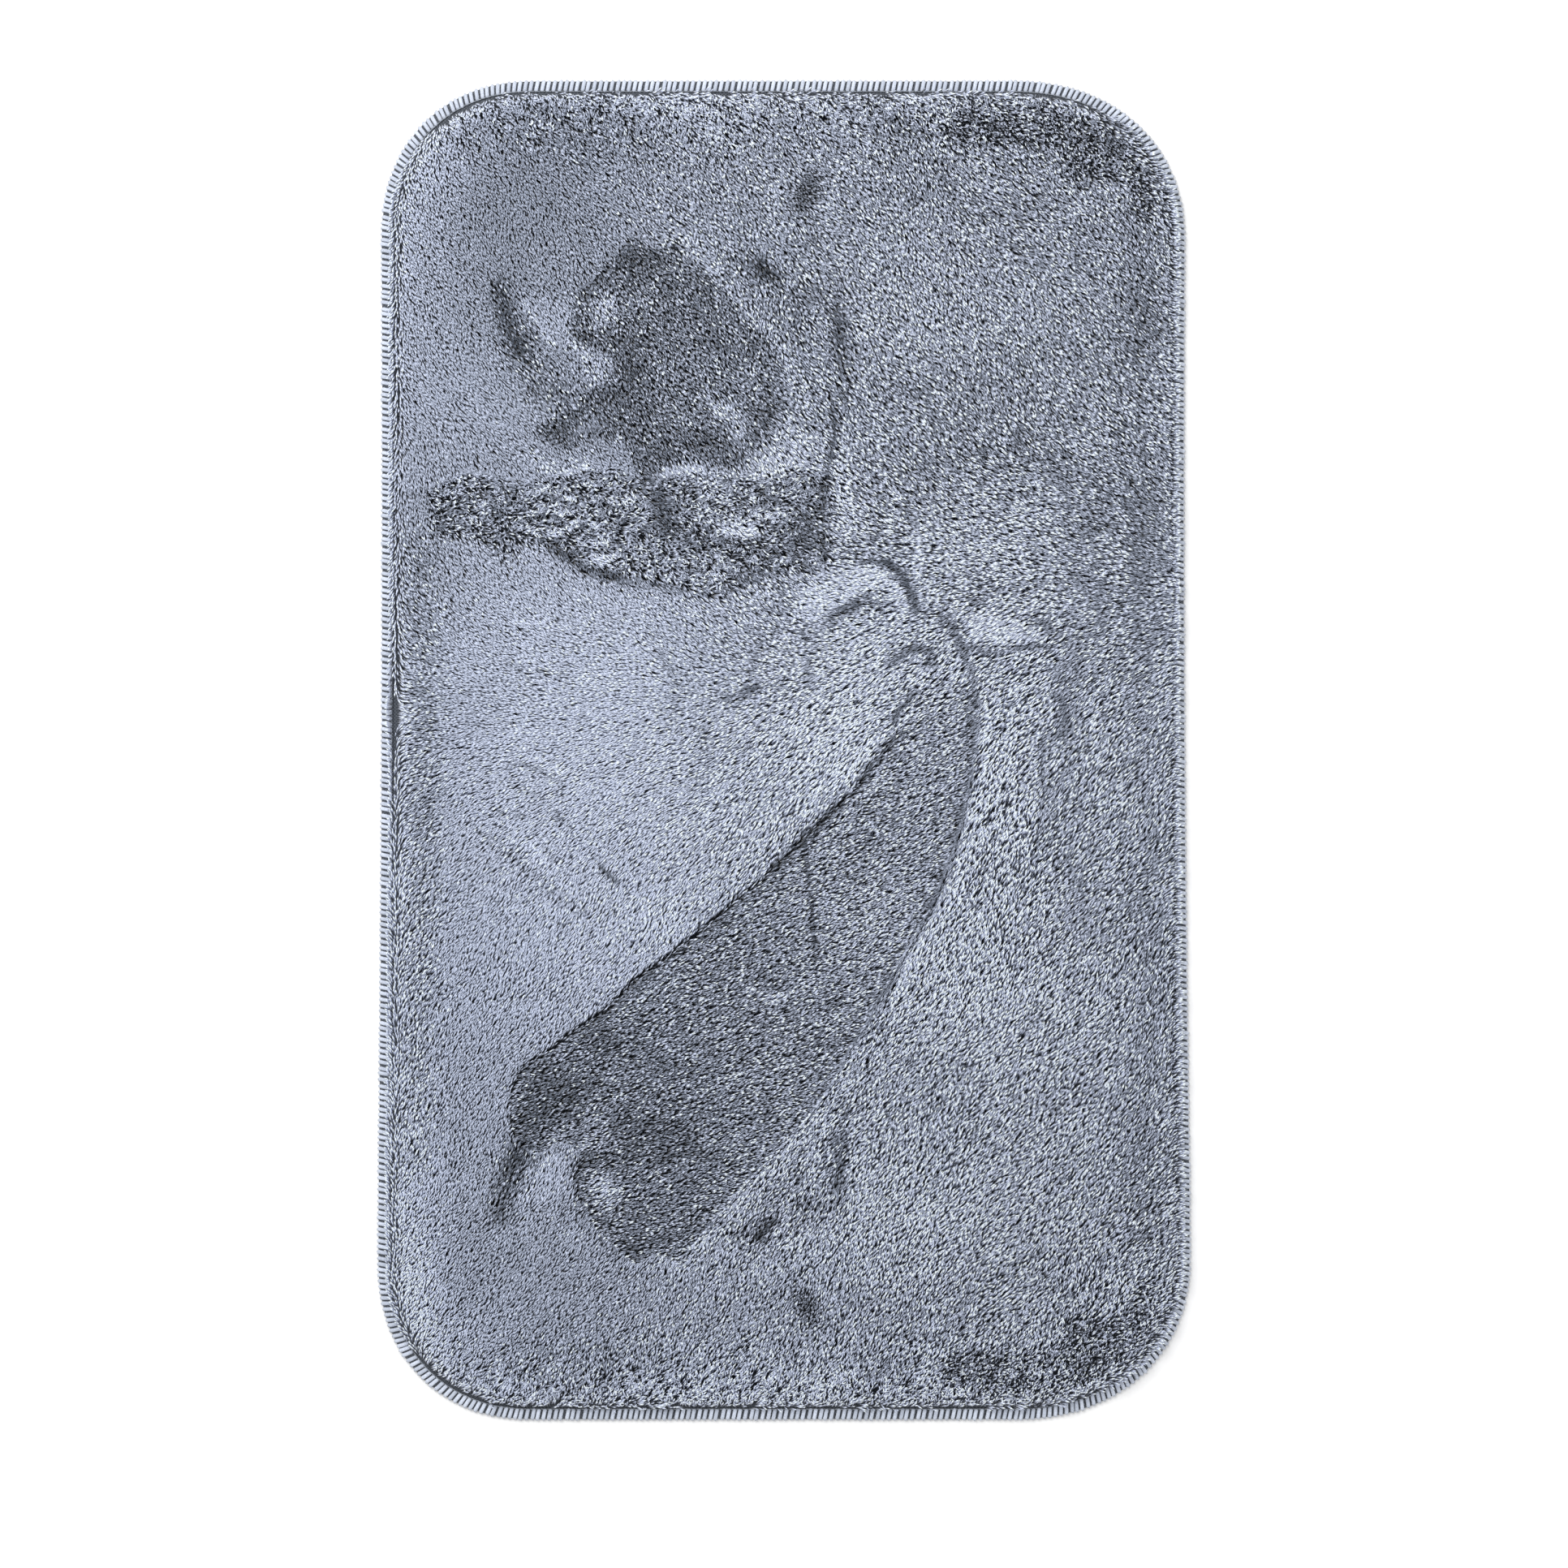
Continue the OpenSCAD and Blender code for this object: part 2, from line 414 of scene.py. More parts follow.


# Broad areas of painted light and painted shade, as (x, y, half_x, half_y, turn, shade_by). Their
# order counts, because one of painted shade takes a share off the shade that the ones before it have left.
GROUND_AREAS = [
    (150, 160, 90, 32, 0, 0.14), (150, -210, 110, 110, 0, 0.08), (-60, 50, 34, 50, 0, -0.1),
    (-292, 420, 36, 80, 0, 0.3), (-235, 470, 40, 30, 0, 0.2), (-288, -380, 34, 120, 0, 0.36),
    (-285, -110, 30, 60, 0, 0.16), (-160, -160, 90, 70, 30, 0.16), (-75, -125, 30, 26, 30, 0.12),
    (190, 310, 120, 190, 0, -0.05), (110, 205, 60, 50, 0, -0.08), (264, 60, 20, 260, 0, -0.1),
    (10, 120, 26, 40, 0, -0.08), (215, 30, 16, 60, 0, -0.05), (0, -474, 260, 18, 0, 0.12),
    (230, -470, 60, 26, 0, 0.16), (0, 478, 260, 14, 0, 0.06),
    (-190, 425, 80, 60, 0, -0.12), (-215, 350, 50, 60, 0, -0.08), (-200, -410, 110, 50, 0, -0.06),
    (120, 340, 60, 50, 0, 0.14), (180, 330, 26, 26, 0, 0.1), (100, -350, 60, 50, 0, 0.1),
    (170, -330, 40, 50, 0, 0.12), (185, 222, 44, 12, -24, -0.2), (120, 216, 34, 14, 0, -0.14),
    (152, 222, 6, 18, 0, -0.14), (245, 178, 48, 26, 0, -0.16), (236, 180, 9, 20, 10, -0.2),
    (256, 148, 14, 14, 0, -0.14), (140, -258, 70, 24, 0, -0.12), (130, 268, 70, 22, 0, -0.08),
    (264, 320, 16, 40, 0, -0.2), (228, 224, 14, 12, 0, 0.12),
    (-280, 360, 40, 120, 0, 0.14), (-285, -420, 40, 80, 0, 0.18), (50, -480, 240, 24, 0, 0.22),
    (-110, 482, 90, 18, 0, 0.14), (150, 480, 60, 18, 0, 0.16), (60, -340, 80, 60, 0, 0.18),
    (165, -190, 44, 60, 0, 0.16), (60, -110, 90, 60, 60, 0.12), (245, 122, 46, 26, 0, -0.12),
    (-5, 75, 50, 30, 0, -0.1), (0, -60, 50, 60, 0, 0.1), (125, -100, 16, 60, -20, 0.12),
    (120, -175, 30, 34, 0, 0.16), (272, -10, 30, 60, 0, 0.2), (-285, -95, 24, 50, 0, 0.12),
    (-235, -440, 46, 34, 0, 0.14), (225, -478, 54, 18, 0, 0.16), (90, -330, 50, 34, 0, 0.12),
    (-55, 470, 34, 24, 0, 0.2), (20, 410, 40, 30, 0, 0.08), (200, -30, 16, 60, 0, 0.04),
    (74, -22, 26, 40, -20, 0.16), (165, -10, 24, 60, 0, 0.14), (120, -130, 30, 40, 0, 0.12),
    (80, 325, 40, 34, 0, 0.12), (280, -425, 24, 40, 0, 0.16), (-75, 330, 40, 80, 0, 0.1),
    (95, 120, 34, 28, 0, 0.12), (20, 176, 30, 30, 0, 0.1), (-85, -125, 30, 26, 0, 0.1),
    (-292, -270, 20, 40, 0, 0.24), (0, -75, 40, 34, 0, 0.1), (75, -225, 30, 26, 0, 0.1),
    (-250, 430, 26, 26, 0, 0.16), (-280, -420, 22, 50, 0, 0.12), (72, -28, 22, 30, -20, 0.12),
    (-215, 215, 30, 24, 0, -0.06), (-230, 30, 24, 26, 0, -0.08), (250, -325, 26, 20, 0, -0.08),
    (175, -75, 40, 26, 0, -0.06), (165, 20, 22, 40, 0, 0.14), (170, -190, 36, 40, 0, 0.16),
    (125, -165, 26, 40, -30, 0.2), (215, -470, 50, 34, 0, 0.14), (260, -410, 26, 26, 0, 0.12),
    (30, -330, 40, 30, 0, 0.1), (165, -75, 20, 50, 0, 0.1), (80, 10, 26, 30, 0, 0.08),
]


def brush_ground():
    """The nap swings from down-right at one end to up-right at the other, later on the right than on
    the left. It is even on the left and rougher on the right, with a soft mottle of painted light and
    shade, painted shade over the upper half, broad areas of painted light and painted shade, and
    strokes of painted shade down both margins and inside the right one."""
    turn_at = (25 + 45 * (1 + np.tanh((at_x - 20 * MM) / (60 * MM)))) * MM
    nap = 62 * np.tanh((turn_at - at_y) / (110 * MM)) + 12 * soft_noise(at_x, at_y, 60 * MM, 3)
    comb[:, 0], comb[:, 1] = np.cos(np.radians(nap)), np.sin(np.radians(nap))
    rough = 0.5 + 0.5 * np.tanh((at_x + 30 * MM) / (70 * MM))
    shade[:], laid[:], curl[:], lift[:] = 1.09, 0.62, 0, 0
    # A soft mottle of painted light and shade, then painted shade over the upper half.
    shade[:] += (0.03 + 0.04 * rough) * soft_noise(at_x, at_y, 24 * MM, 7)
    shade[:] -= 0.13 * (0.5 + 0.5 * np.tanh((at_y - 110 * MM) / (70 * MM)))
    crisp[:] = 0.3 + 1.9 * rough
    wash(0, 420, 130, 110, crisp_to=1.0)
    wash(0, -420, 130, 110, crisp_to=0.9)
    wash(165, 340, 150, 130, crisp_to=1.4)
    wash(165, -300, 150, 130, crisp_to=1.6)
    wash(-140, 20, 150, 150, shade_by=0.26, lay_to=0.85)
    wash(-235, 250, 60, 60, shade_by=0.06, lay_to=0.8, crisp_to=0.3)
    wash(45, 40, 55, 75, shade_by=0.26, lay_to=0.8)
    wash(165, -20, 40, 110, shade_by=0.24, crisp_to=2.8)
    washes(GROUND_AREAS)
    strokes([
        ([(-270, 150), (-268, 20), (-270, -110)], 14, -0.24), ([(-272, -110), (-276, -300)], 13, -0.08),
        ([(268, 200), (270, 60), (274, -150), (268, -300)], 17, -0.18),
        ([(212, 200), (222, 120), (212, 40), (208, -60), (226, -140)], 12, -0.16),
    ], crisp_to=1.4)


SWEEP = [
    (88, 12), (72, -6), (50, -32), (25, -56), (0, -80), (-15, -95), (-50, -124), (-90, -156),
    (-112, -172), (-135, -195), (-160, -212), (-178, -226), (-196, -238), (-203, -258), (-202, -284),
    (-184, -298), (-166, -290), (-152, -300), (-154, -318), (-149, -335), (-140, -354), (-125, -368),
    (-110, -381), (-98, -374), (-84, -378), (-75, -380), (-60, -362), (-40, -338), (-20, -316), (0, -296),
    (22, -270), (38, -246), (50, -222), (62, -205), (72, -185), (90, -155), (107, -125), (120, -95),
    (129, -70), (138, -30), (143, 10), (142, 38), (128, 50), (108, 52), (98, 40), (93, 24),
]


def brush_sweep():
    """The long sweep of painted shade from the right of the middle to the lower left, brushed sideways,
    with a painted dark edge on its upper side, a crease painted as a dark line on its lower one and a
    rim of painted light beyond that."""
    patch(SWEEP, 2, shade_by=-0.27, lay_to=0.45, comb_to=25, crisp_to=1.6)
    washes([
        (-172, -258, 20, 16, 0, -0.41), (-184, -240, 16, 9, 30, -0.35), (-192, -276, 9, 13, 0, -0.30),
        (-138, -212, 22, 9, 10, -0.38), (-112, -222, 26, 9, -20, -0.30), (-78, -238, 24, 7, 0, -0.22),
        (-150, -236, 30, 16, 20, -0.19), (-95, -284, 30, 12, -8, -0.32), (-74, -292, 12, 8, 0, -0.24),
        (-118, -274, 9, 8, 0, -0.27), (-112, -368, 17, 9, 10, -0.41), (-142, -346, 9, 14, 30, -0.19),
        (-92, -362, 14, 8, 0, -0.22), (-84, -330, 26, 14, 30, -0.05), (-66, -350, 14, 8, 40, -0.16),
        (20, -262, 26, 24, 0, 0.1), (60, -130, 50, 40, 60, 0.2),
        (-115, -300, 50, 40, 0, -0.14), (-60, -262, 60, 14, 0, -0.1), (114, -20, 17, 44, -10, 0.2),
        (116, 40, 26, 22, 0, 0.4),
        (-20, -250, 30, 10, 10, 0.06), (-10, -140, 30, 14, 40, -0.08), (70, -60, 20, 14, 40, -0.11),
    ])
    strokes([
        ([(86, 12), (72, -3), (61, -15)], 4.5, -0.75),
        ([(62, -17), (49, -32), (21, -60), (-5, -86)], 5.5, -0.61),
        ([(-5, -86), (-55, -130), (-97, -165), (-139, -200)], 5, -0.35),
        ([(14, -60), (16, -84), (20, -106), (22, -130), (24, -156)], 2.2, -0.68),
        ([(-16, -165), (-10, -176)], 4, -0.34), ([(16, -214), (26, -218)], 5, -0.34),
        ([(30, -180), (40, -188)], 4, -0.34), ([(-100, -303), (-74, -300), (-50, -304)], 4.5, -0.32),
        ([(-70, -318), (-54, -314)], 3, -0.22), ([(-120, -344), (-96, -350)], 4, -0.19),
        ([(137, 40), (139, 20), (137, -10), (132, -40), (125, -68)], 5, -0.19),
    ])
    stroke([(-82, -384), (-56, -364), (-36, -341), (-14, -317), (10, -292)], 7, shade_by=0.12)
    stroke([(10, -64), (12, -90), (16, -120)], 2, shade_by=0.2)
    stroke([(-26, -180), (-12, -184), (-2, -183)], 3.5, shade_by=0.5, lay_to=1)


def brush_hook(end):
    """The hooked mark of painted shade, its hole and wedge of painted light, and the painted spots
    beside it, which lie alike at each end."""
    strokes([
        ([(-211, 344), (-208, 328), (-203, 312), (-197, 298)], 8, -0.66),
        ([(-196, 304), (-189, 286), (-178, 270), (-160, 258)], 14, -0.38),
        ([(-150, 340), (-154, 326), (-153, 312), (-148, 302)], 5, -0.3),
        ([(-150, 307), (-132, 304), (-112, 300)], 4.5, -0.2),
        ([(-18, 361), (-14, 355), (-8, 350)], 6.5, -0.8), ([(-38, 354), (-28, 362), (-20, 356)], 8, -0.3),
        ([(12, 340), (24, 338), (38, 338)], 9, -0.36), ([(40, 322), (41, 308), (42, 292)], 7.5, -0.6),
        ([(44, 288), (46, 264)], 7, -0.26), ([(10, 326), (12, 300)], 4, -0.24),
    ], end, crisp_to=2.0)
    wash(17, 414 * end, 9, 18, turn=-28 * end, shade_by=-0.5, lay_to=0.2)
    wash(12, 325 * end, 44, 26, shade_by=-0.1)
    patch(mirrored([
        (-195, 334), (-184, 314), (-176, 303), (-164, 303), (-160, 320), (-159, 333), (-176, 337),
    ], end), 3, shade_by=0.12, lay_to=0.8, crisp_to=0.3)
    strokes([
        ([(-193, 334), (-182, 314), (-172, 301)], 2, 0.24), ([(-160, 301), (-148, 294)], 4.5, 0.3),
        ([(-143, 286), (-138, 274)], 7, 0.4), ([(-126, 286), (-136, 290)], 3, 0.16),
    ], end, crisp_to=1.0)
    wash(-133, 328 * end, 10, 12, turn=-20 * end, shade_by=0.72, lay_to=0.7, crisp_to=0.7)
    stroke(mirrored([(-82, 380), (-60, 362), (-38, 338), (-14, 312), (8, 292)], end), 6, shade_by=0.14)


BLOB = [
    (-154, 306), (-155, 320), (-149, 338), (-138, 354), (-124, 368), (-112, 381), (-102, 374),
    (-92, 372), (-80, 377), (-62, 360), (-42, 338), (-22, 316), (-6, 298), (-2, 280), (2, 258), (-6, 250),
    (-14, 236), (-26, 218), (-40, 211), (-62, 214), (-84, 212), (-98, 200), (-110, 208), (-118, 226),
    (-140, 232), (-162, 224), (-184, 236), (-172, 248), (-152, 254), (-150, 264), (-128, 280), (-132, 296),
]


def brush_blob():
    """The blob of painted shade by the upper hook: its darker painted cap and lower lobes, and the flecks of
    painted light between.
    """
    patch(BLOB, 2.5, shade_by=-0.32, lay_to=0.45, crisp_to=1.5)
    washes([
        (-112, 364, 18, 9, 0, -0.46), (-90, 361, 8, 6, 0, -0.27), (-86, 348, 26, 6, -6, -0.30),
        (-142, 344, 8, 14, -30, -0.16), (-118, 303, 26, 6, 6, -0.27), (-54, 303, 12, 6, 0, -0.32),
        (-60, 320, 12, 5, -20, -0.16), (-113, 281, 10, 11, 0, -0.41), (-130, 262, 22, 10, 10, -0.35),
        (-168, 236, 15, 9, 20, -0.41), (-92, 216, 16, 9, 0, -0.35), (-62, 230, 24, 9, 0, -0.30),
        (-98, 206, 8, 8, 0, -0.27), (-104, 250, 16, 10, 0, -0.16), (-24, 276, 28, 18, 0, 0.06),
        (-106, 332, 12, 8, 0, 0.1), (-73, 241, 13, 6, 10, 0.2),
        (-32, 228, 30, 18, 30, -0.2), (-110, 232, 54, 18, 0, -0.14), (-75, 325, 40, 24, 0, -0.12),
        (-120, 290, 30, 20, 0, -0.1),
    ])
    strokes([
        ([(4, 251), (-9, 249), (-16, 235), (-25, 222), (-38, 214)], 5, -0.27),
        ([(-54, 300), (-30, 296), (-14, 300)], 3, -0.14), ([(-50, 224), (-36, 228)], 4, -0.22),
        ([(36, 252), (38, 236), (36, 218)], 3, -0.35),
    ])
    for points, width, by in (
        ([(-44, 252), (-36, 243), (-34, 234)], 8, 0.46), ([(-60, 270), (-54, 258), (-47, 248)], 2, 0.3),
        ([(-94, 205), (-80, 210), (-62, 210)], 4.5, 0.36), ([(-186, 216), (-166, 208), (-150, 212)], 6, 0.12),
        ([(-14, 214), (-2, 218), (10, 222)], 12, 0.3), ([(-152, 240), (-140, 244)], 6, 0.1),
    ):
        stroke(points, width, shade_by=by, lay_to=0.9, crisp_to=1.2)


CRUMPLE = [
    (-262, 190), (-240, 202), (-215, 200), (-190, 196), (-150, 204), (-120, 206), (-94, 200), (-60, 203),
    (-20, 200), (10, 206), (34, 200), (33, 160), (32, 136), (10, 134), (-12, 134), (-30, 126), (-50, 117),
    (-80, 120), (-102, 124), (-122, 126), (-140, 130), (-156, 139), (-172, 150), (-196, 152), (-206, 140),
    (-216, 150), (-236, 158), (-260, 162),
]


def brush_crumple():
    """The crumpled band on the left half: curly pile with painted shade in its hollows, squiggles of
    painted light that each cast a painted shadow, and a scalloped lower edge with painted shade beneath
    it, standing for an undercut, cut off on its right by a straight crease painted as a dark line."""
    patch(CRUMPLE, 6, shade_by=-0.24, lay_to=0.5, curl_to=1, comb_to=-30, crisp_to=1.9)
    washes([
        (-236, 186, 7, 16, 0, -0.22), (-213, 180, 6, 17, 0, -0.24), (-210, 153, 8, 9, 0, -0.22),
        (-250, 178, 10, 14, 0, -0.1), (-228, 168, 5, 16, 0, 0.22), (-268, 186, 12, 12, 0, -0.12),
        (-92, 186, 8, 12, 20, -0.34), (-86, 168, 9, 12, 20, -0.36), (-70, 156, 10, 9, -30, -0.3),
        (-104, 198, 9, 4, 0, -0.34), (-10, 190, 13, 9, 0, -0.38), (18, 166, 15, 18, 0, -0.42),
        (24, 194, 9, 9, 0, -0.3), (2, 150, 14, 8, 0, -0.2), (-26, 132, 12, 5, 10, -0.3),
        (-118, 192, 14, 7, 0, 0.16), (-48, 194, 10, 6, 0, 0.14), (-52, 138, 16, 9, 0, 0.1),
        (-34, 163, 15, 7, -4, 0.5), (-42, 178, 10, 6, -20, 0.5), (-136, 142, 13, 6, 0, 0.4),
        (-100, 150, 10, 10, 0, 0.12), (45, 192, 7, 15, 0, 0.56), (44, 168, 5, 14, 0, 0.3),
        (47, 222, 7, 16, 0, 0.26), (70, 160, 9, 7, 0, -0.34), (73, 184, 7, 7, 40, -0.3),
        (94, 174, 6, 12, 0, -0.34), (91, 159, 8, 5, 0, -0.3), (60, 146, 20, 7, 0, -0.26),
        (24, 146, 14, 7, 0, -0.24),
        (62, 176, 6, 8, 0, -0.16), (58, 202, 8, 6, 0, 0.12),
    ])
    for points in (
        [(-190, 176), (-176, 181), (-164, 175)], [(-190, 164), (-176, 161), (-162, 163)],
        [(-172, 192), (-158, 188), (-148, 178)], [(-160, 166), (-150, 172), (-140, 166)],
        [(-138, 190), (-124, 184), (-110, 188)], [(-128, 172), (-114, 178), (-104, 170)],
        [(-58, 190), (-46, 186), (-34, 188)], [(-154, 156), (-142, 153), (-128, 156)],
        [(-186, 190), (-176, 196)], [(-20, 176), (-8, 172), (-2, 164)], [(-66, 176), (-58, 168)],
    ):
        # Each squiggle of painted light stands a little proud, with a stroke of painted shadow 6 mm below it.
        stroke(points, 2.6, shade_by=0.6, lay_to=0.8, lift_by=0.8)
        stroke([(x + 2, y - 6) for x, y in points], 2.6, shade_by=-0.5)
    wash(-34, 163, 15, 7, turn=-4, shade_by=0.5, lay_to=0.9, curl_to=0.1, crisp_to=0.6)
    wash(-136, 142, 13, 6, shade_by=0.4, lay_to=0.9, curl_to=0.1, crisp_to=0.6)
    wash(-90, 178, 8, 24, turn=20, shade_by=-0.4, curl_to=0.3, crisp_to=1.2)
    wash(22, 162, 11, 22, shade_by=-0.14, curl_to=0.4, crisp_to=1.4)
    strokes([
        ([(-172, 150), (-158, 141), (-142, 133), (-124, 128)], 4.5, -0.7),
        ([(-126, 126), (-100, 122), (-76, 119), (-50, 116), (-30, 124), (-12, 132), (16, 133)], 3.5, -0.36),
        ([(34, 270), (37, 255), (38, 236), (34, 212), (31, 190), (29, 165), (31, 138)], 1.8, -0.6),
        ([(-48, 157), (-32, 154), (-16, 158)], 3, -0.45), ([(-16, 190), (-10, 176)], 3, -0.3),
    ])
    stroke([(84, 190), (80, 176), (80, 162)], 2.2, shade_by=0.5)


def brush_fingers():
    """The folded fingers of pile at the head of the sweep, laid and painted with light, the crease round
    them painted as dark lines, the small wrinkles about as strokes of painted shade, and a few pale
    strokes of painted light."""
    patch([
        (8, 104), (14, 121), (28, 132), (48, 138), (68, 137), (80, 131), (87, 120), (93, 106), (88, 100),
        (76, 118), (66, 120), (54, 114), (44, 107), (30, 98), (14, 96),
    ], 3, shade_by=0.3, lay_to=0.9, crisp_to=0.8)
    washes([
        (45, 122, 24, 10, 18, 0.12), (50, 40, 26, 50, -10, 0.12), (72, 106, 12, 10, 0, -0.18),
        (90, 90, 34, 8, 4, 0.2),
        (64, 76, 20, 12, 20, 0.12), (92, 56, 16, 6, 10, 0.22), (118, 76, 8, 12, 40, 0.1),
        (50, -4, 20, 40, -30, 0.12), (112, 66, 14, 7, 0, -0.30),
        (168, -40, 18, 60, 0, 0.2), (168, 40, 16, 20, 0, 0.14), (40, -190, 30, 60, -35, 0.1),
        (14, 92, 8, 7, 0, -0.23),
        (182, -2, 10, 6, 0, -0.16), (8, 46, 14, 12, 0, -0.11),
    ])
    patch([
        (134, 101), (150, 102), (172, 98), (188, 90), (201, 84), (176, 80), (150, 80), (137, 84),
    ], 3, shade_by=0.3, lay_to=0.9, crisp_to=1.0)
    strokes([
        ([(56, 139), (68, 140), (78, 139)], 2.6, -0.57),
        ([(78, 139), (88, 130), (94, 118), (99, 104)], 4.2, -0.71),
        ([(36, 99), (44, 105), (52, 108), (62, 115)], 4, -0.57), ([(46, 103), (52, 105)], 5, -0.34),
        ([(118, 98), (126, 91), (131, 80), (134, 70), (139, 60), (142, 48), (143, 34)], 4.5, -0.55),
        ([(143, 34), (143, 10), (141, -10), (138, -30), (133, -50), (127, -75), (120, -95), (112, -112),
          (98, -142), (80, -172), (62, -205), (50, -222)], 3.5, -0.36),
        ([(80, 64), (88, 71), (98, 75), (108, 74)], 4, -0.64), ([(81, 22), (88, 32), (98, 43)], 3.6, -0.75),
        ([(120, -95), (112, -114)], 4.5, -0.34), ([(108, -116), (104, -130)], 5, -0.34),
        ([(79, -168), (73, -184)], 5, -0.34), ([(34, 96), (24, 84), (18, 66), (22, 42)], 3.5, -0.28),
        ([(136, 76), (160, 73), (186, 78), (198, 76)], 2.6, -0.48), ([(192, 95), (202, 86)], 3.5, -0.57),
        ([(-44, 39), (-32, 41), (-22, 47)], 4.5, -0.46), ([(-24, 47), (-20, 47)], 3.5, -0.46),
        ([(205, 40), (210, 22), (206, 10)], 4, -0.41), ([(193, 8), (192, -14), (194, -34)], 3, -0.41),
        ([(196, -50), (190, -64)], 5, -0.34), ([(236, 125), (234, 104), (237, 86)], 3.5, -0.28),
        ([(56, 60), (70, 56)], 3, -0.11), ([(158, 66), (166, 62)], 3, -0.30),
        ([(200, 62), (206, 54)], 4, -0.30),
        ([(-206, 66), (-190, 56)], 2.5, -0.25), ([(-182, 60), (-164, 55)], 2.5, -0.25),
        ([(-202, -10), (-182, -15), (-164, -26)], 2.2, -0.32), ([(-200, -28), (-180, -33)], 2.5, -0.25),
        ([(-212, -46), (-194, -50)], 2.5, -0.28), ([(-168, -47), (-165, -54)], 2.5, -0.46),
        ([(-180, -74), (-168, -82)], 2.5, -0.28), ([(-136, -87), (-124, -98)], 2.5, -0.69),
        ([(-222, -64), (-200, -80), (-180, -100), (-150, -118)], 4, -0.18),
        ([(-90, 70), (-80, 50), (-86, 20)], 4, -0.14), ([(-60, 20), (-56, -10), (-66, -24)], 6, -0.14),
        ([(-96, 84), (-88, 62), (-70, 52)], 4, -0.14), ([(-16, 96), (-22, 76), (-22, 56)], 5, -0.16),
    ], crisp_to=1.0)
    for points, width, by in (
        ([(149, 30), (148, -10), (146, -30), (136, -72), (124, -102), (106, -140), (86, -174)], 4.5, 0.3),
        ([(16, -42), (44, -16), (70, 10)], 6, 0.16), ([(98, 160), (99, 130)], 3, 0.2),
        ([(-186, -8), (-168, -16)], 3, 0.16), ([(-204, 96), (-184, 94), (-164, 90)], 2, 0.16),
        ([(-200, -66), (-184, -76), (-172, -90)], 5, 0.12),
    ):
        stroke(points, width, shade_by=by, lay_to=0.95)


def brush_corners(end):
    """The bands of painted shade that follow the corners, a little inside the rim, and the patches of painted
    light on them.
    """
    patch(mirrored([
        (116, 462), (132, 474), (160, 481), (198, 478), (236, 464), (262, 442), (276, 416), (276, 396),
        (262, 398), (254, 422), (212, 424), (200, 446), (150, 450), (122, 451),
    ], end), 6, shade_by=-0.24, lay_to=0.3, curl_to=0.5, crisp_to=2.1)
    wash(146, 466 * end, 22, 10, shade_by=-0.16)
    wash(238, 452 * end, 26, 14, turn=-30 * end, shade_by=-0.22)
    wash(266, 420 * end, 9, 14, shade_by=-0.12)
    wash(78, 463 * end, 22, 11, shade_by=-0.28, crisp_to=1.4)
    wash(268, 340 * end, 18, 60, shade_by=-0.2)
    wash(70, 412 * end, 30, 9, shade_by=-0.1)
    wash(112, 450 * end, 9, 8, shade_by=0.16)
    stroke(mirrored([(112, 452), (126, 442), (142, 432)], end), 4, shade_by=0.2)
    wash(127, 490 * end, 20, 5, shade_by=0.7, lay_to=1)
    wash(-150, 458 * end, 70, 20, shade_by=-0.16, crisp_to=1.3)
    wash(-172, 476 * end, 9, 7, shade_by=-0.2)
    wash(-130, 470 * end, 10, 7, shade_by=-0.2)


# Curlier pile along both ends, a crease inside the right edge that is lowered and painted with shade, and
# rims that spill over the overlock and are painted with light.
gap = edge_gap(foot_x, foot_y)
end_gap = MAT_LENGTH / 2 - np.abs(foot_y)
STEP = 0.5 * MM
outward = np.stack([
    edge_gap(foot_x - STEP, foot_y) - edge_gap(foot_x + STEP, foot_y),
    edge_gap(foot_x, foot_y - STEP) - edge_gap(foot_x, foot_y + STEP),
], 1)
outward /= np.maximum(np.hypot(outward[:, 0], outward[:, 1]), 1e-9)[:, None]
sideways = np.clip(np.abs(outward[:, 0]) * 1.6 - 0.7, 0, 1)
right_side = sideways * (foot_x > 0)
rim_weight = np.exp(-(((gap - PILE_INSET) / (5 * MM)) ** 2))
spill = rim_weight * (0.25 + 0.35 * sideways + 0.4 * right_side)
crease_at = (15 + 1.5 * soft_noise(foot_x, foot_y, 22 * MM, 5)) * MM
side_crease = np.exp(-(((gap - crease_at) / (2 * MM)) ** 2)) * right_side
own = random.normal(0, 1, (3, tufts))
coarse = soft_noise(foot_x, foot_y, 14 * MM, 21)
clump = soft_noise(foot_x, foot_y, 5.5 * MM, 22)
twist = soft_noise(foot_x, foot_y, 6.5 * MM, 24)


def brush_everything():
    """Brushes the whole mat afresh, each mark over the ones before it, and curls the pile at the ends
    by exp(-(gap to the end / 34 mm)^2)."""
    brush_ground()
    brush_sweep()
    brush_blob()
    brush_crumple()
    brush_hook(1)
    brush_hook(-1)
    brush_fingers()
    brush_corners(1)
    brush_corners(-1)
    curl[:] = np.maximum(curl, np.exp(-((end_gap / (34 * MM)) ** 2)))


# The brushing is gone over twice to bend the tufts, and a third time to shade them where their tips
# have come to lie.
for brushing in range(2):
    brush_everything()
    lay = np.clip(laid + 0.03 * coarse + (0.04 + 0.25 * curl) * clump, 0, 1)
    lean = np.radians(LEAN_UPRIGHT + (LEAN_LAID - LEAN_UPRIGHT) * lay + 2 * own[1])
    swing = np.radians((4 + 40 * curl) * twist + (5 + 4 * crisp + 20 * curl) * own[2] + 6 * coarse)
    aim = comb * (1 - spill)[:, None] + outward * spill[:, None]
    aim /= np.maximum(np.hypot(aim[:, 0], aim[:, 1]), 1e-9)[:, None]
    combed = np.stack([
        aim[:, 0] * np.cos(swing) - aim[:, 1] * np.sin(swing),
        aim[:, 0] * np.sin(swing) + aim[:, 1] * np.cos(swing),
    ], 1)
    reach = TIP_REACH * np.sin(lean)
    at_x, at_y = foot_x + reach * combed[:, 0], foot_y + reach * combed[:, 1]
brush_everything()
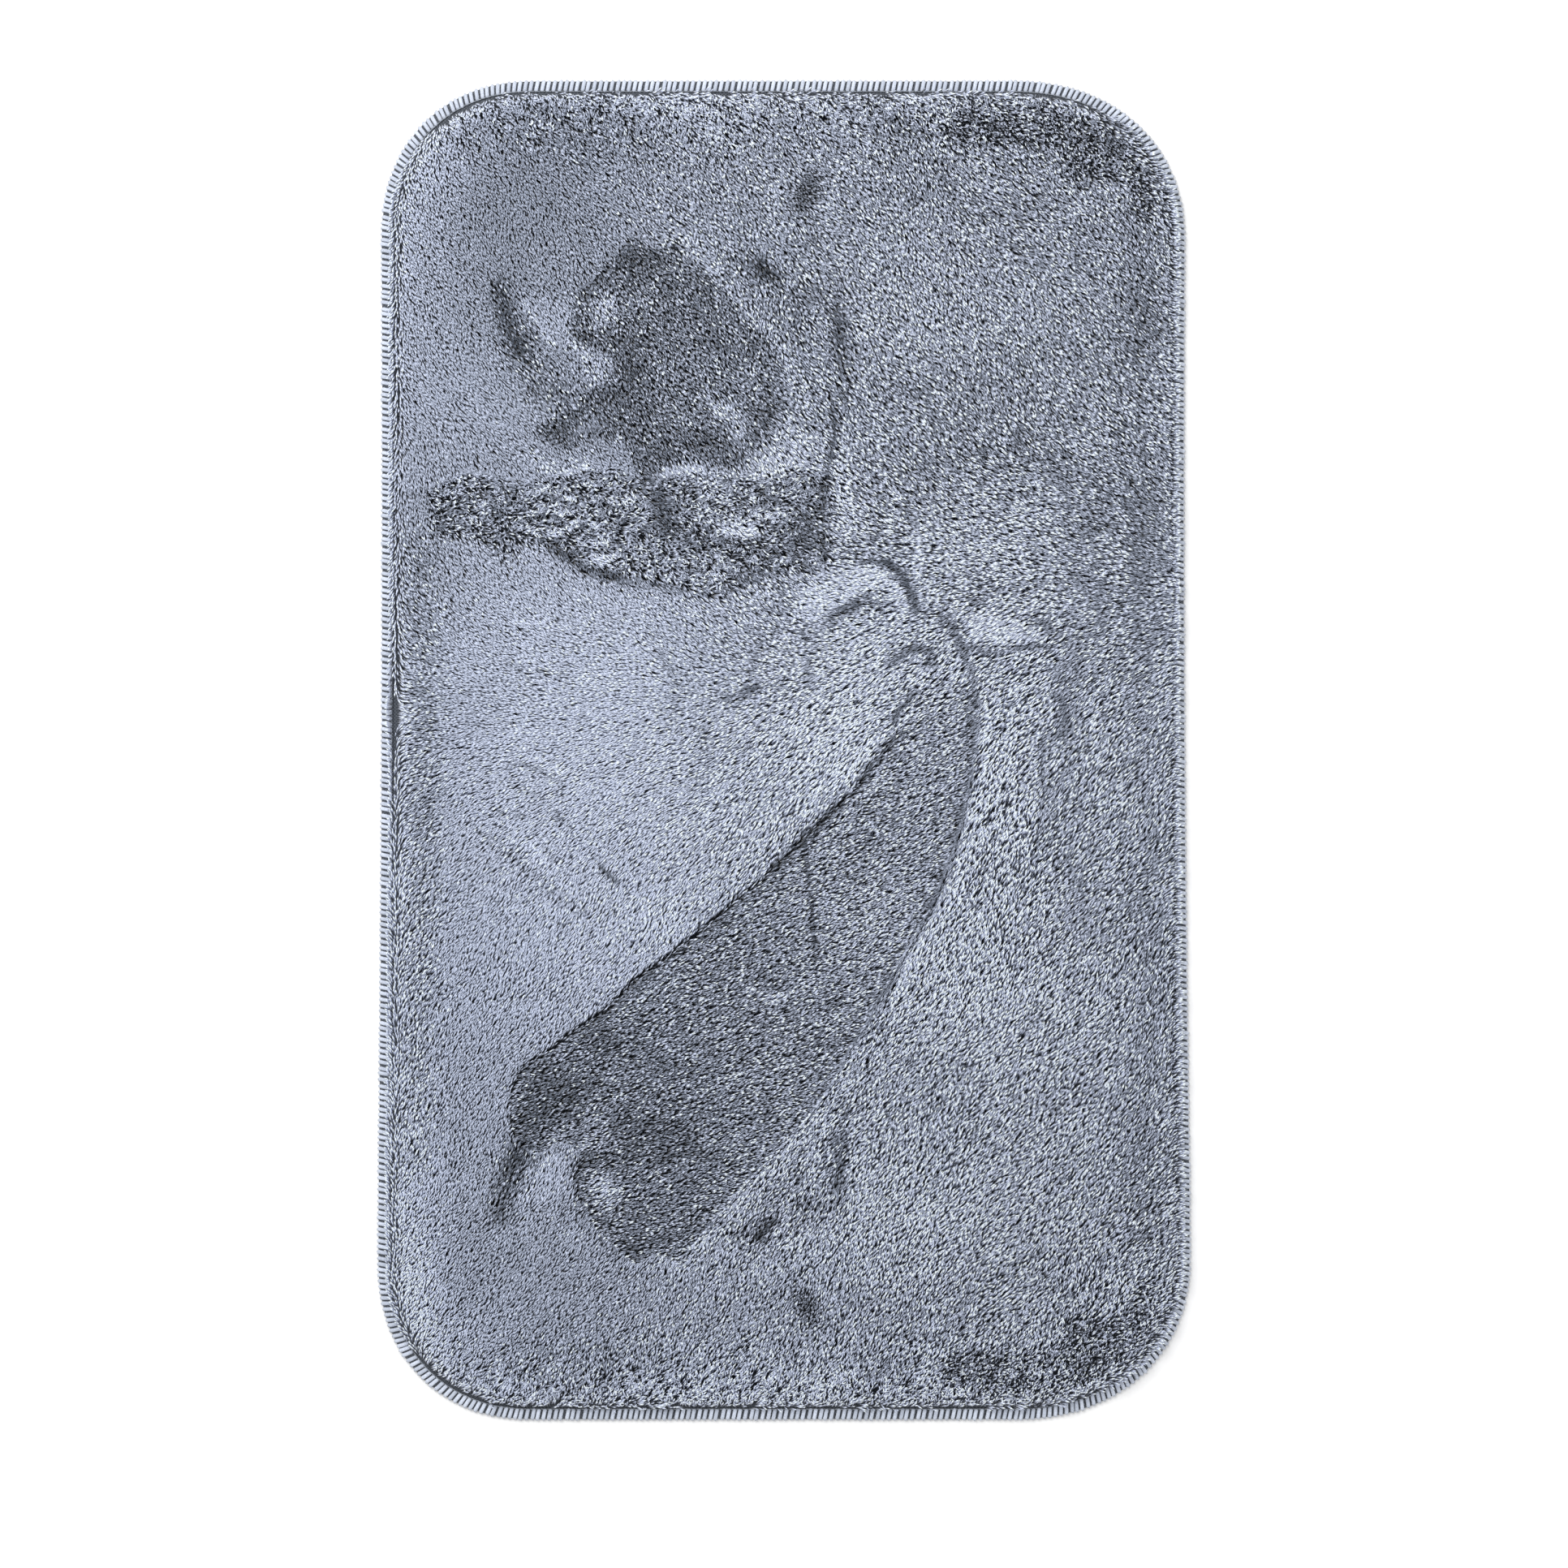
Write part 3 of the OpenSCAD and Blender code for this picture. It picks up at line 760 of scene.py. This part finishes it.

# The grain of the tips, small wrinkles where the pile is rough, lowered and painted with shade, and each
# tuft's height.
grain = grain_noise(at_x, at_y, GRAIN_CELL, 23)
wrinkle = np.exp(-((soft_noise(at_x, 1.5 * at_y, 9 * MM, 25) / 0.14) ** 2))
wrinkle *= np.clip(0.3 + 1.4 * soft_noise(at_x, at_y, 26 * MM, 26), 0, 1) * np.clip(crisp - 0.5, 0, 1.5)
# Painted light on the rims that spill over the overlock, paler still along the right side, and painted shade
# in the crease inside the right edge.
shade += rim_weight * (0.4 + 0.25 * sideways) + 0.5 * right_side * np.exp(-((gap / (15 * MM)) ** 2))
shade -= 0.25 * side_crease
lift -= 4 * MM * side_crease
# Raised clumps are painted paler and low ones darker, as painted light and shade.
shade = np.clip(shade + (0.02 + 0.14 * curl) * clump, 0.14, 1.7)
contrast = crisp * GRAIN_SHADE
# The grain varies each tuft's tone at random and paints shade on the tufts it sinks, as the gaps between the
# others; the wrinkles are painted shade.
shade *= np.exp(contrast * grain - 0.3 * contrast**2 + 0.07 * own[0] - 0.3 * wrinkle)
sunk = grain < -1.7 + 0.55 * crisp
shoulder = np.clip((gap - PILE_INSET) / (12 * MM), 0, 1)
height = PILE_HEIGHT * (0.62 + 0.38 * np.sqrt(1 - (1 - shoulder) ** 2)) + lift
height += (0.15 + 0.9 * curl) * MM * clump + GRAIN_LIFT * crisp * grain - 0.8 * MM * (laid - 0.6)
height *= np.where(sunk, 0.7, 1.0) - 0.08 * wrinkle
height = np.clip(height, 3 * MM, PILE_TOP - CLOTH_TOP)


def tuft_points():
    """Four points a tuft: its foot, two at the sides of its shoulder and its tip. The foot's stretch
    leans less than the tip's, so the shoulder stands proud of the line from foot to tip."""
    low_lean, high_lean = 0.8 * lean, np.minimum(1.4 * lean + 0.1, 1.4)
    length = height / (TUFT_SHOULDER * np.cos(low_lean) + (1 - TUFT_SHOULDER) * np.cos(high_lean))
    length = np.minimum(length, 1.25 * PILE_HEIGHT)
    foot = np.stack([foot_x, foot_y, np.full(tufts, CLOTH_TOP - 0.2 * MM)], 1)

    def rise(tilt, run):
        """A step of the given run along the combing direction, tilted from upright."""
        flat = (np.sin(tilt) * run)[:, None] * combed
        return np.concatenate([flat, (np.cos(tilt) * run)[:, None]], 1)

    middle = foot + rise(low_lean, TUFT_SHOULDER * length)
    tip = middle + rise(high_lean, (1 - TUFT_SHOULDER) * length)
    side = np.concatenate([np.stack([-combed[:, 1], combed[:, 0]], 1), np.zeros((tufts, 1))], 1)
    axis = tip - foot
    axis /= np.linalg.norm(axis, axis=1)[:, None]
    over = np.cross(axis, side)
    width = (TUFT_HALF_WIDTH * random.uniform(0.75, 1.3, tufts))[:, None]
    roll = 0.15 * random.normal(0, 1, tufts)[:, None]
    half = width * (np.cos(roll) * side + np.sin(roll) * over)
    return np.stack([foot, middle - half, middle + half, tip], 1)


# The yarn's colour in levels of painted shade and light, in two lots of dye, cool and plain, each given at
# its darkest painted shade and at its palest painted light. A tuft's foot face is painted a level darker
# still.
PAINTED_SHADE_LEVELS = 14
DARKEST_PAINTED_SHADE = 0.1
PALEST_PAINTED_LIGHT = 1.75
COOL_DYE_SHADED_AND_LIT = np.array([(0.425, 0.515, 0.69), (0.475, 0.512, 0.615)])
PLAIN_DYE_SHADED_AND_LIT = np.array([(0.425, 0.51, 0.675), (0.485, 0.52, 0.622)])
FOOT_PAINTED_SHADE_LEVELS = 1


def painted_shade_level(value):
    """The nearest of the levels of painted shade and light, which rise in equal ratios from the darkest to
    the palest.
    """
    share = np.log(np.maximum(value, 1e-3) / DARKEST_PAINTED_SHADE) / math.log(PALEST_PAINTED_LIGHT / DARKEST_PAINTED_SHADE)
    return np.clip(np.round(share * (PAINTED_SHADE_LEVELS - 1)), 0, PAINTED_SHADE_LEVELS - 1).astype(int)


def pile_yarn(lot, dye_shaded_and_lit, level):
    """Microfibre yarn at one level of painted light and shade: matt, with a fine fibre grain and a soft
    sheen. Its colour passes in even steps from the dye's painted-shade end to its painted-light end."""
    material, tree, shader = new_material(f"pile_yarn_{lot}_{level + 1}", 0.75, sheen=0.35, specular=0.15)
    shader.inputs["Sheen Roughness"].default_value = 0.45
    share = level / (PAINTED_SHADE_LEVELS - 1)
    value = DARKEST_PAINTED_SHADE * (PALEST_PAINTED_LIGHT / DARKEST_PAINTED_SHADE) ** share
    colour = np.minimum(0.93, value * (dye_shaded_and_lit[0] + (dye_shaded_and_lit[1] - dye_shaded_and_lit[0]) * share))
    shader.inputs["Base Color"].default_value = (*[float(c) for c in colour], 1)
    grain = node(tree, "ShaderNodeTexNoise", Scale=900.0, Detail=2.0)
    place = node(tree, "ShaderNodeTexCoord")
    tree.links.new(place.outputs["Object"], grain.inputs["Vector"])
    add_bump(tree, shader, grain.outputs["Fac"], 0.15 * MM, 0.5)
    return material


yarns = [pile_yarn("cool", COOL_DYE_SHADED_AND_LIT, level) for level in range(PAINTED_SHADE_LEVELS)]
yarns += [pile_yarn("plain", PLAIN_DYE_SHADED_AND_LIT, level) for level in range(PAINTED_SHADE_LEVELS)]
points = tuft_points()
TUFT_FACES = np.array([(1, 3, 2), (1, 2, 0), (0, 3, 1), (0, 2, 3)])
level = painted_shade_level(shade)
tint = 0.5 * soft_noise(foot_x, foot_y, 45 * MM, 31) + foot_x / (350 * MM) + 0.35 * own[2]
lot = np.where(tint > 0, PAINTED_SHADE_LEVELS, 0)
# Painted shade: the face towards the foot and the two undersides of each tuft are a level darker than its tip
# face.
foot_level = np.maximum(level - FOOT_PAINTED_SHADE_LEVELS, 0)
tuft_yarn = lot[:, None] + np.stack([level, foot_level, level - 1, level - 1], 1).clip(0)
for number, part in enumerate(np.array_split(np.arange(tufts), PILE_PIECES), 1):
    faces = (np.arange(len(part))[:, None, None] * 4 + TUFT_FACES).reshape(-1, 3)
    piece = make_piece(f"pile_strip_{number}", points[part].reshape(-1, 3), faces, yarns[0])
    for yarn in yarns[1:]:
        piece.data.materials.append(yarn)
    piece.data.polygons.foreach_set("material_index", tuft_yarn[part].ravel().astype(np.int32))
    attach(piece, "root")
    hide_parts("pile")


# ------------------------------------------------------------------------------ latex tie coat
# Cream latex, spread wet over the back of the base cloth, where it dries and locks the back
# stitches of the tufts.


def rubber_material(name, light, dark, pebble, depth, roughness):
    """A matt rubbery skin: fine Voronoi cells, pebble to the metre, for bump and a slow cloudy tint."""
    material, tree, shader = new_material(name, roughness, specular=0.35)
    place = node(tree, "ShaderNodeTexCoord").outputs["Object"]
    skin = node(tree, "ShaderNodeTexVoronoi", Scale=pebble)
    cloud = node(tree, "ShaderNodeTexNoise", Scale=14.0, Detail=3.0)
    tree.links.new(place, skin.inputs["Vector"])
    tree.links.new(place, cloud.inputs["Vector"])
    tint = colour_ramp(tree, cloud.outputs["Fac"], [(0.3, dark), (0.7, light)])
    tree.links.new(tint, shader.inputs["Base Color"])
    add_bump(tree, shader, skin.outputs["Distance"], depth)
    return material


def dress(cad_node, material):
    """Gives a carried-over CAD node its material."""
    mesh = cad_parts[cad_node].data
    mesh.materials.clear()
    mesh.materials.append(material)


LATEX_CREAM = (0.68, 0.65, 0.55)
LATEX_DEEP = (0.6, 0.56, 0.46)
dress("latex_tie_coat", rubber_material("latex", LATEX_CREAM, LATEX_DEEP, 300, 0.1 * MM, 0.7))


# ---------------------------------------------------------------------------------- grip coat
# A thin coat of soft rubbery compound, rolled over the latex, so that its grey skin is finely
# pebbled. It carries the grip studs.

COAT_LIGHT = (0.5, 0.51, 0.53)
COAT_DARK = (0.42, 0.43, 0.46)
dress("grip_coat", rubber_material("grip_coat_skin", COAT_LIGHT, COAT_DARK, 700, 0.15 * MM, 0.6))


# --------------------------------------------------------------------------------- grip studs
# Drops of soft rubbery compound, printed on the grip coat in a diamond grid and left flat on top.
# Each has a rounded shoulder, and none lies under the care label.

STUD_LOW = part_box("grip_studs")[0][2]
STUD_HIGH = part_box("grip_studs")[1][2]
STUD_PITCH = 30 * MM
STUD_RADIUS = 3 * MM
STUD_MARGIN = 20 * MM
LABEL_LOW, LABEL_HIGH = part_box("care_label")


def stud_places():
    """A diamond grid: every second row is moved over by half a pitch."""
    rows = int((MAT_LENGTH - 2 * STUD_MARGIN) / STUD_PITCH)
    columns = int((MAT_WIDTH / 2 - STUD_MARGIN) / STUD_PITCH)
    row, column = np.meshgrid(np.arange(-rows, rows + 1), np.arange(-columns, columns + 1), indexing="ij")
    x = (column + 0.5 * (row % 2)) * STUD_PITCH
    y = row * STUD_PITCH / 2
    clear = 2 * STUD_RADIUS
    on_label = (x > LABEL_LOW[0] - clear) & (x < LABEL_HIGH[0] + clear) & (y < LABEL_HIGH[1] + clear)
    kept = (edge_gap(x, y) > STUD_MARGIN) & ~on_label
    return np.stack([x[kept], y[kept]], 1)


def stud_surface(places, sides=10):
    """One drop turned about its axis, repeated at each place: its profile runs from the coat down
    over a rounded shoulder to the flat end, and closes at a point in the middle of each end."""
    radius = np.array([0.001, 1.0, 0.97, 0.8, 0.001]) * STUD_RADIUS
    level = STUD_HIGH - np.array([0.0, 0.0, 0.6, 1.0, 1.0]) * (STUD_HIGH - STUD_LOW)
    turn = np.arange(sides) * 2 * math.pi / sides
    circle = np.stack([np.cos(turn), -np.sin(turn)], 1)
    flat = radius[:, None, None] * circle
    one = np.concatenate([flat, np.broadcast_to(level[:, None, None], (5, sides, 1))], -1).reshape(-1, 3)
    move = np.concatenate([places, np.zeros((len(places), 1))], 1)
    quads = ring_quads(5, sides)
    faces = np.arange(len(places))[:, None, None] * len(one) + quads
    return (move[:, None] + one).reshape(-1, 3), faces.reshape(-1, 4)


def stud_material():
    """Pale rubbery compound with a soft shine and a fine cloudy tint, which is its bump too."""
    material, tree, shader = new_material("grip_stud_compound", 0.42, specular=0.45)
    place = node(tree, "ShaderNodeTexCoord").outputs["Object"]
    cloud = node(tree, "ShaderNodeTexNoise", Scale=220.0, Detail=2.0)
    tree.links.new(place, cloud.inputs["Vector"])
    tint = colour_ramp(tree, cloud.outputs["Fac"], [(0.3, (0.62, 0.63, 0.64)), (0.7, (0.76, 0.77, 0.78))])
    tree.links.new(tint, shader.inputs["Base Color"])
    add_bump(tree, shader, cloud.outputs["Fac"], 0.08 * MM)
    return material


grip_studs = make_piece("grip_stud_drops", *stud_surface(stud_places()), stud_material())
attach(grip_studs, "root")
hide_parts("grip_studs")


# ----------------------------------------------------------------------- overlock, upper looper
# A textured polyester thread that runs out over the top to the mat's edge and back at each stitch,
# where it meets the lower looper's thread. Here each stitch is a thread of its own.

STITCH_PITCH = 4.3 * MM
THREAD_RADIUS = 1.45 * MM
THREAD_FLATNESS = 0.6
THREAD_SIDES = 8
LOOPER_INSET = np.array([8.7, 8.0, 6.6, 4.4, 2.4, 1.3, 0.8, 0.8]) * MM
LOOPER_SLANT = 1.4 * MM
LOOPER_JITTER = 0.3
UPPER_LEVEL = CLOTH_TOP + np.array([0.0, 0.5, 0.85, 0.95, 0.8, 0.3, -0.4, -0.8]) * MM
edge_length = np.sum(np.hypot(*(mat_outline(0) - np.roll(mat_outline(0), 1, 0)).T))
stitch_count = int(round(edge_length / STITCH_PITCH))
stitch_at, stitch_along, stitch_out = even_path(mat_outline(0), stitch_count)
stitch_rng = np.random.default_rng(5)


def thread_runs(paths, radius, sides, flat=1.0):
    """Closed tubes along many paths at once. paths is stitches by points by 3. Each ring is square to
    its path, radius wide and radius times flat thick, and the two end rings shrink to a point."""
    step = np.gradient(paths, axis=1)
    step /= np.linalg.norm(step, axis=2)[..., None]
    across = np.cross(step, np.array([0.0, 0.0, 1.0]))
    across /= np.maximum(np.linalg.norm(across, axis=2), 1e-6)[..., None]
    over = np.cross(across, step)
    size = np.full(paths.shape[1], radius)
    size[[0, -1]] *= 0.05
    turn = np.arange(sides) * 2 * math.pi / sides
    ring = (
        np.cos(turn)[:, None] * across[:, :, None] + flat * np.sin(turn)[:, None] * over[:, :, None]
    ) * size[:, None, None]
    tubes = paths[:, :, None] + ring
    quads = ring_quads(paths.shape[1], sides)[:, ::-1]
    faces = np.arange(len(paths))[:, None, None] * (paths.shape[1] * sides) + quads
    return tubes.reshape(-1, 3), faces.reshape(-1, 4)


def looper_stitches(level, slant):
    """Each stitch's thread: LOOPER_INSET in from the edge and level are its profile, and it leans along
    the edge from slant at its inner end to minus slant at its outer one."""
    lean = np.linspace(slant, -slant, len(LOOPER_INSET))
    shift = stitch_rng.normal(0, LOOPER_JITTER, (stitch_count, 1)) * MM
    flat = (
        stitch_at[:, None]
        - stitch_out[:, None] * (LOOPER_INSET + 0.6 * shift)[..., None]
        + stitch_along[:, None] * (lean + shift)[..., None]
    )
    up = np.broadcast_to(level, (stitch_count, len(level)))
    paths = np.concatenate([flat, up[..., None]], -1)
    return thread_runs(paths, THREAD_RADIUS, THREAD_SIDES, THREAD_FLATNESS)


def thread_material(name, dark, light, pitch):
    """Textured polyester thread: noise on Object coordinates, a pitch wide, for its loose fibres, times
    the shade that each stitch has of its own."""
    material, tree, shader = new_material(name, 0.8, sheen=0.4, specular=0.2)
    place = node(tree, "ShaderNodeTexCoord").outputs["Object"]
    ply = node(tree, "ShaderNodeTexNoise", Scale=1 / pitch, Detail=3.0, Roughness=0.7)
    tree.links.new(place, ply.inputs["Vector"])
    own_shade = node(tree, "ShaderNodeAttribute", attribute_name="shade").outputs["Fac"]
    both = node(tree, "ShaderNodeMath", operation="MULTIPLY")
    tree.links.new(ply.outputs["Fac"], both.inputs[0])
    tree.links.new(own_shade, both.inputs[1])
    tint = colour_ramp(tree, both.outputs[0], [(0.25, dark), (0.7, light)])
    tree.links.new(tint, shader.inputs["Base Color"])
    add_bump(tree, shader, ply.outputs["Fac"], 0.35 * MM)
    return material


def add_threads(name, stitches, material, cad_node):
    """Makes the stitches of one thread a piece, with a shade of its own for each stitch."""
    points, faces = stitches
    piece = make_piece(name, points, faces, material)
    own_shade = np.repeat(stitch_rng.uniform(0.8, 1.2, stitch_count), len(points) // stitch_count)
    layer = piece.data.attributes.new("shade", "FLOAT", "POINT")
    layer.data.foreach_set("value", own_shade.astype(np.float32))
    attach(piece, "root")
    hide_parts(cad_node)


looper_yarn = thread_material("overlock_yarn", (0.38, 0.42, 0.5), (0.7, 0.755, 0.87), 0.7 * MM)
upper_stitches = looper_stitches(UPPER_LEVEL, LOOPER_SLANT)
add_threads(
    "overlock_upper_stitches", upper_stitches, looper_yarn, "overlock_upper_thread"
)


# ----------------------------------------------------------------------- overlock, lower looper
# The same textured thread on the underside, slanted the other way. It meets the upper one at the
# mat's edge and lies on the floor with the studs.

BAND_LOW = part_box("overlock_lower_thread")[0][2]
LOWER_LEVEL = BAND_LOW + np.array([1.0, 0.85, 0.75, 0.75, 0.75, 0.9, 1.3, 1.7]) * MM
lower_stitches = looper_stitches(LOWER_LEVEL, -LOOPER_SLANT)
add_threads(
    "overlock_lower_stitches", lower_stitches, looper_yarn, "overlock_lower_thread"
)


# ------------------------------------------------------------------------ overlock, needle thread
# Thin spun polyester thread along the inner side of the band, one short stitch a pitch, which holds
# both looper threads to the cloth.

NEEDLE_RADIUS = 0.4 * MM
NEEDLE_INSET = 8.4 * MM
NEEDLE_SIDES = 5


def needle_stitches():
    """One short stitch a pitch along the needle line, sinking into the cloth at both ends."""
    along = np.array([-0.5, -0.42, -0.15, 0.15, 0.42, 0.5]) * STITCH_PITCH
    level = CLOTH_TOP + np.array([-0.3, 0.6, 1.0, 1.0, 0.6, -0.3]) * MM
    start = stitch_at - stitch_out * NEEDLE_INSET
    flat = start[:, None] + stitch_along[:, None] * along[:, None]
    up = np.broadcast_to(level, (stitch_count, len(level)))
    return thread_runs(np.concatenate([flat, up[..., None]], -1), NEEDLE_RADIUS, NEEDLE_SIDES)


needle_yarn = thread_material("needle_thread", (0.1, 0.115, 0.14), (0.4, 0.44, 0.5), 0.5 * MM)
add_threads(
    "overlock_needle_stitches", needle_stitches(), needle_yarn, "overlock_needle_thread"
)


# ---------------------------------------------------------------------------------- care label
# A narrow strip of blank white satin, folded double, with its raw ends caught in the overlock
# under one end of the mat. It lies flat against the grip coat.

LABEL_PLY = 0.16 * MM
LABEL_FOLD = 0.05 * MM


def label_surface(across=12, along=40):
    """A strip swept along a hairpin: out along the lower ply, half a turn, and back along the upper
    one. The strip has a thickness, so the profile goes round both of its faces and closes."""
    middle = 0.5 * (LABEL_LOW[2] + LABEL_HIGH[2])
    half_gap = 0.5 * (LABEL_FOLD + LABEL_PLY)
    near, far = LABEL_LOW[1], LABEL_HIGH[1] - 2 * LABEL_PLY
    run = np.linspace(near, far, along)
    turn = np.linspace(-math.pi / 2, math.pi / 2, 9)[1:-1]
    y = np.concatenate([run, far + half_gap * np.cos(turn), run[::-1]])
    z = np.concatenate([np.full(along, -half_gap), half_gap * np.sin(turn), np.full(along, half_gap)])
    line = np.stack([y, middle + z], 1)
    step = np.gradient(line, axis=0)
    step /= np.linalg.norm(step, axis=1)[:, None]
    square = np.stack([-step[:, 1], step[:, 0]], 1) * LABEL_PLY / 2
    loop = np.concatenate([line + square, (line - square)[::-1]])
    x = np.linspace(LABEL_LOW[0], LABEL_HIGH[0], across)
    flat = np.concatenate([
        np.broadcast_to(x[:, None, None], (across, len(loop), 1)),
        np.broadcast_to(loop, (across, len(loop), 2)),
    ], -1)
    count = len(line)
    walls = ring_quads(across, len(loop))
    k = np.arange(count - 1)
    cap = np.stack([k, k + 1, 2 * count - 2 - k, 2 * count - 1 - k], 1)
    faces = np.concatenate([walls, cap[:, ::-1], cap + (across - 1) * len(loop)])
    return flat.reshape(-1, 3), faces


def satin_material():
    """White satin: fine lengthways ribs as a wave on Object coordinates, and a soft shine."""
    material, tree, shader = new_material("label_satin", 0.38, sheen=0.3, specular=0.5)
    place = node(tree, "ShaderNodeTexCoord").outputs["Object"]
    ribs = node(tree, "ShaderNodeTexWave", wave_type="BANDS", bands_direction="X", Scale=900.0)
    ribs.inputs["Distortion"].default_value = 0.6
    tree.links.new(place, ribs.inputs["Vector"])
    tint = colour_ramp(tree, ribs.outputs["Fac"], [(0.0, (0.66, 0.66, 0.64)), (1.0, (0.86, 0.86, 0.84))])
    tree.links.new(tint, shader.inputs["Base Color"])
    add_bump(tree, shader, ribs.outputs["Fac"], 0.04 * MM)
    return material


care_label = make_piece("care_label_strip", *label_surface(), satin_material())
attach(care_label, "root")
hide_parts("care_label")


# --------------------------------------------------------------------- floor, light and camera
# A plain pale floor that runs past every view, a wide soft light overhead with a weaker one from
# the side, and a camera that looks straight down from far off.

FLOOR_HALF = 4.0
CAMERA_HEIGHT = 3.254
CAMERA_LENS = 100
VIEW_CENTRE_Y = -25.2 * MM


def floor_material():
    """Plain matt pale grey."""
    material, tree, shader = new_material("pale_floor", 0.9, specular=0.1)
    shader.inputs["Base Color"].default_value = (0.9, 0.9, 0.9, 1)
    return material


def add_area_light(name, place, aim, size, power):
    """A square area light at place, turned so that it faces aim."""
    data = bpy.data.lights.new(name, "AREA")
    data.size = size
    data.energy = power
    lamp = bpy.data.objects.new(name, data)
    lamp.location = place
    away = lamp.location - type(lamp.location)(aim)
    lamp.rotation_euler = away.to_track_quat("Z", "Y").to_euler()
    bpy.context.scene.collection.objects.link(lamp)


grid = np.linspace(-FLOOR_HALF, FLOOR_HALF, 3)
floor_y, floor_x = np.meshgrid(grid, grid, indexing="ij")
floor_points = np.stack([floor_x, floor_y, np.full((3, 3), -0.2 * MM)], -1).reshape(-1, 3)
floor_faces = np.array([(k, k + 1, k + 4, k + 3) for k in (0, 1, 3, 4)])
floor = make_piece("floor", floor_points, floor_faces, floor_material(), smooth=False)
add_area_light("overhead_softbox", (-0.9, 1.1, 2.4), (0, 0, 0), 1.8, 68)
add_area_light("side_softbox", (1.9, -0.6, 1.6), (0, 0, 0), 1.8, 10)
world = bpy.data.worlds.new("studio")
world.use_nodes = True
world.node_tree.nodes["Background"].inputs["Color"].default_value = (1, 1, 1, 1)
world.node_tree.nodes["Background"].inputs["Strength"].default_value = 0.6
bpy.context.scene.world = world
bpy.context.scene.view_settings.view_transform = "Standard"

camera_data = bpy.data.cameras.new("camera")
camera_data.lens = CAMERA_LENS
camera_data.sensor_width = 36
camera_data.clip_end = 50
camera = bpy.data.objects.new("camera", camera_data)
camera.location = (0, VIEW_CENTRE_Y, CAMERA_HEIGHT)
bpy.context.scene.collection.objects.link(camera)
bpy.context.scene.camera = camera
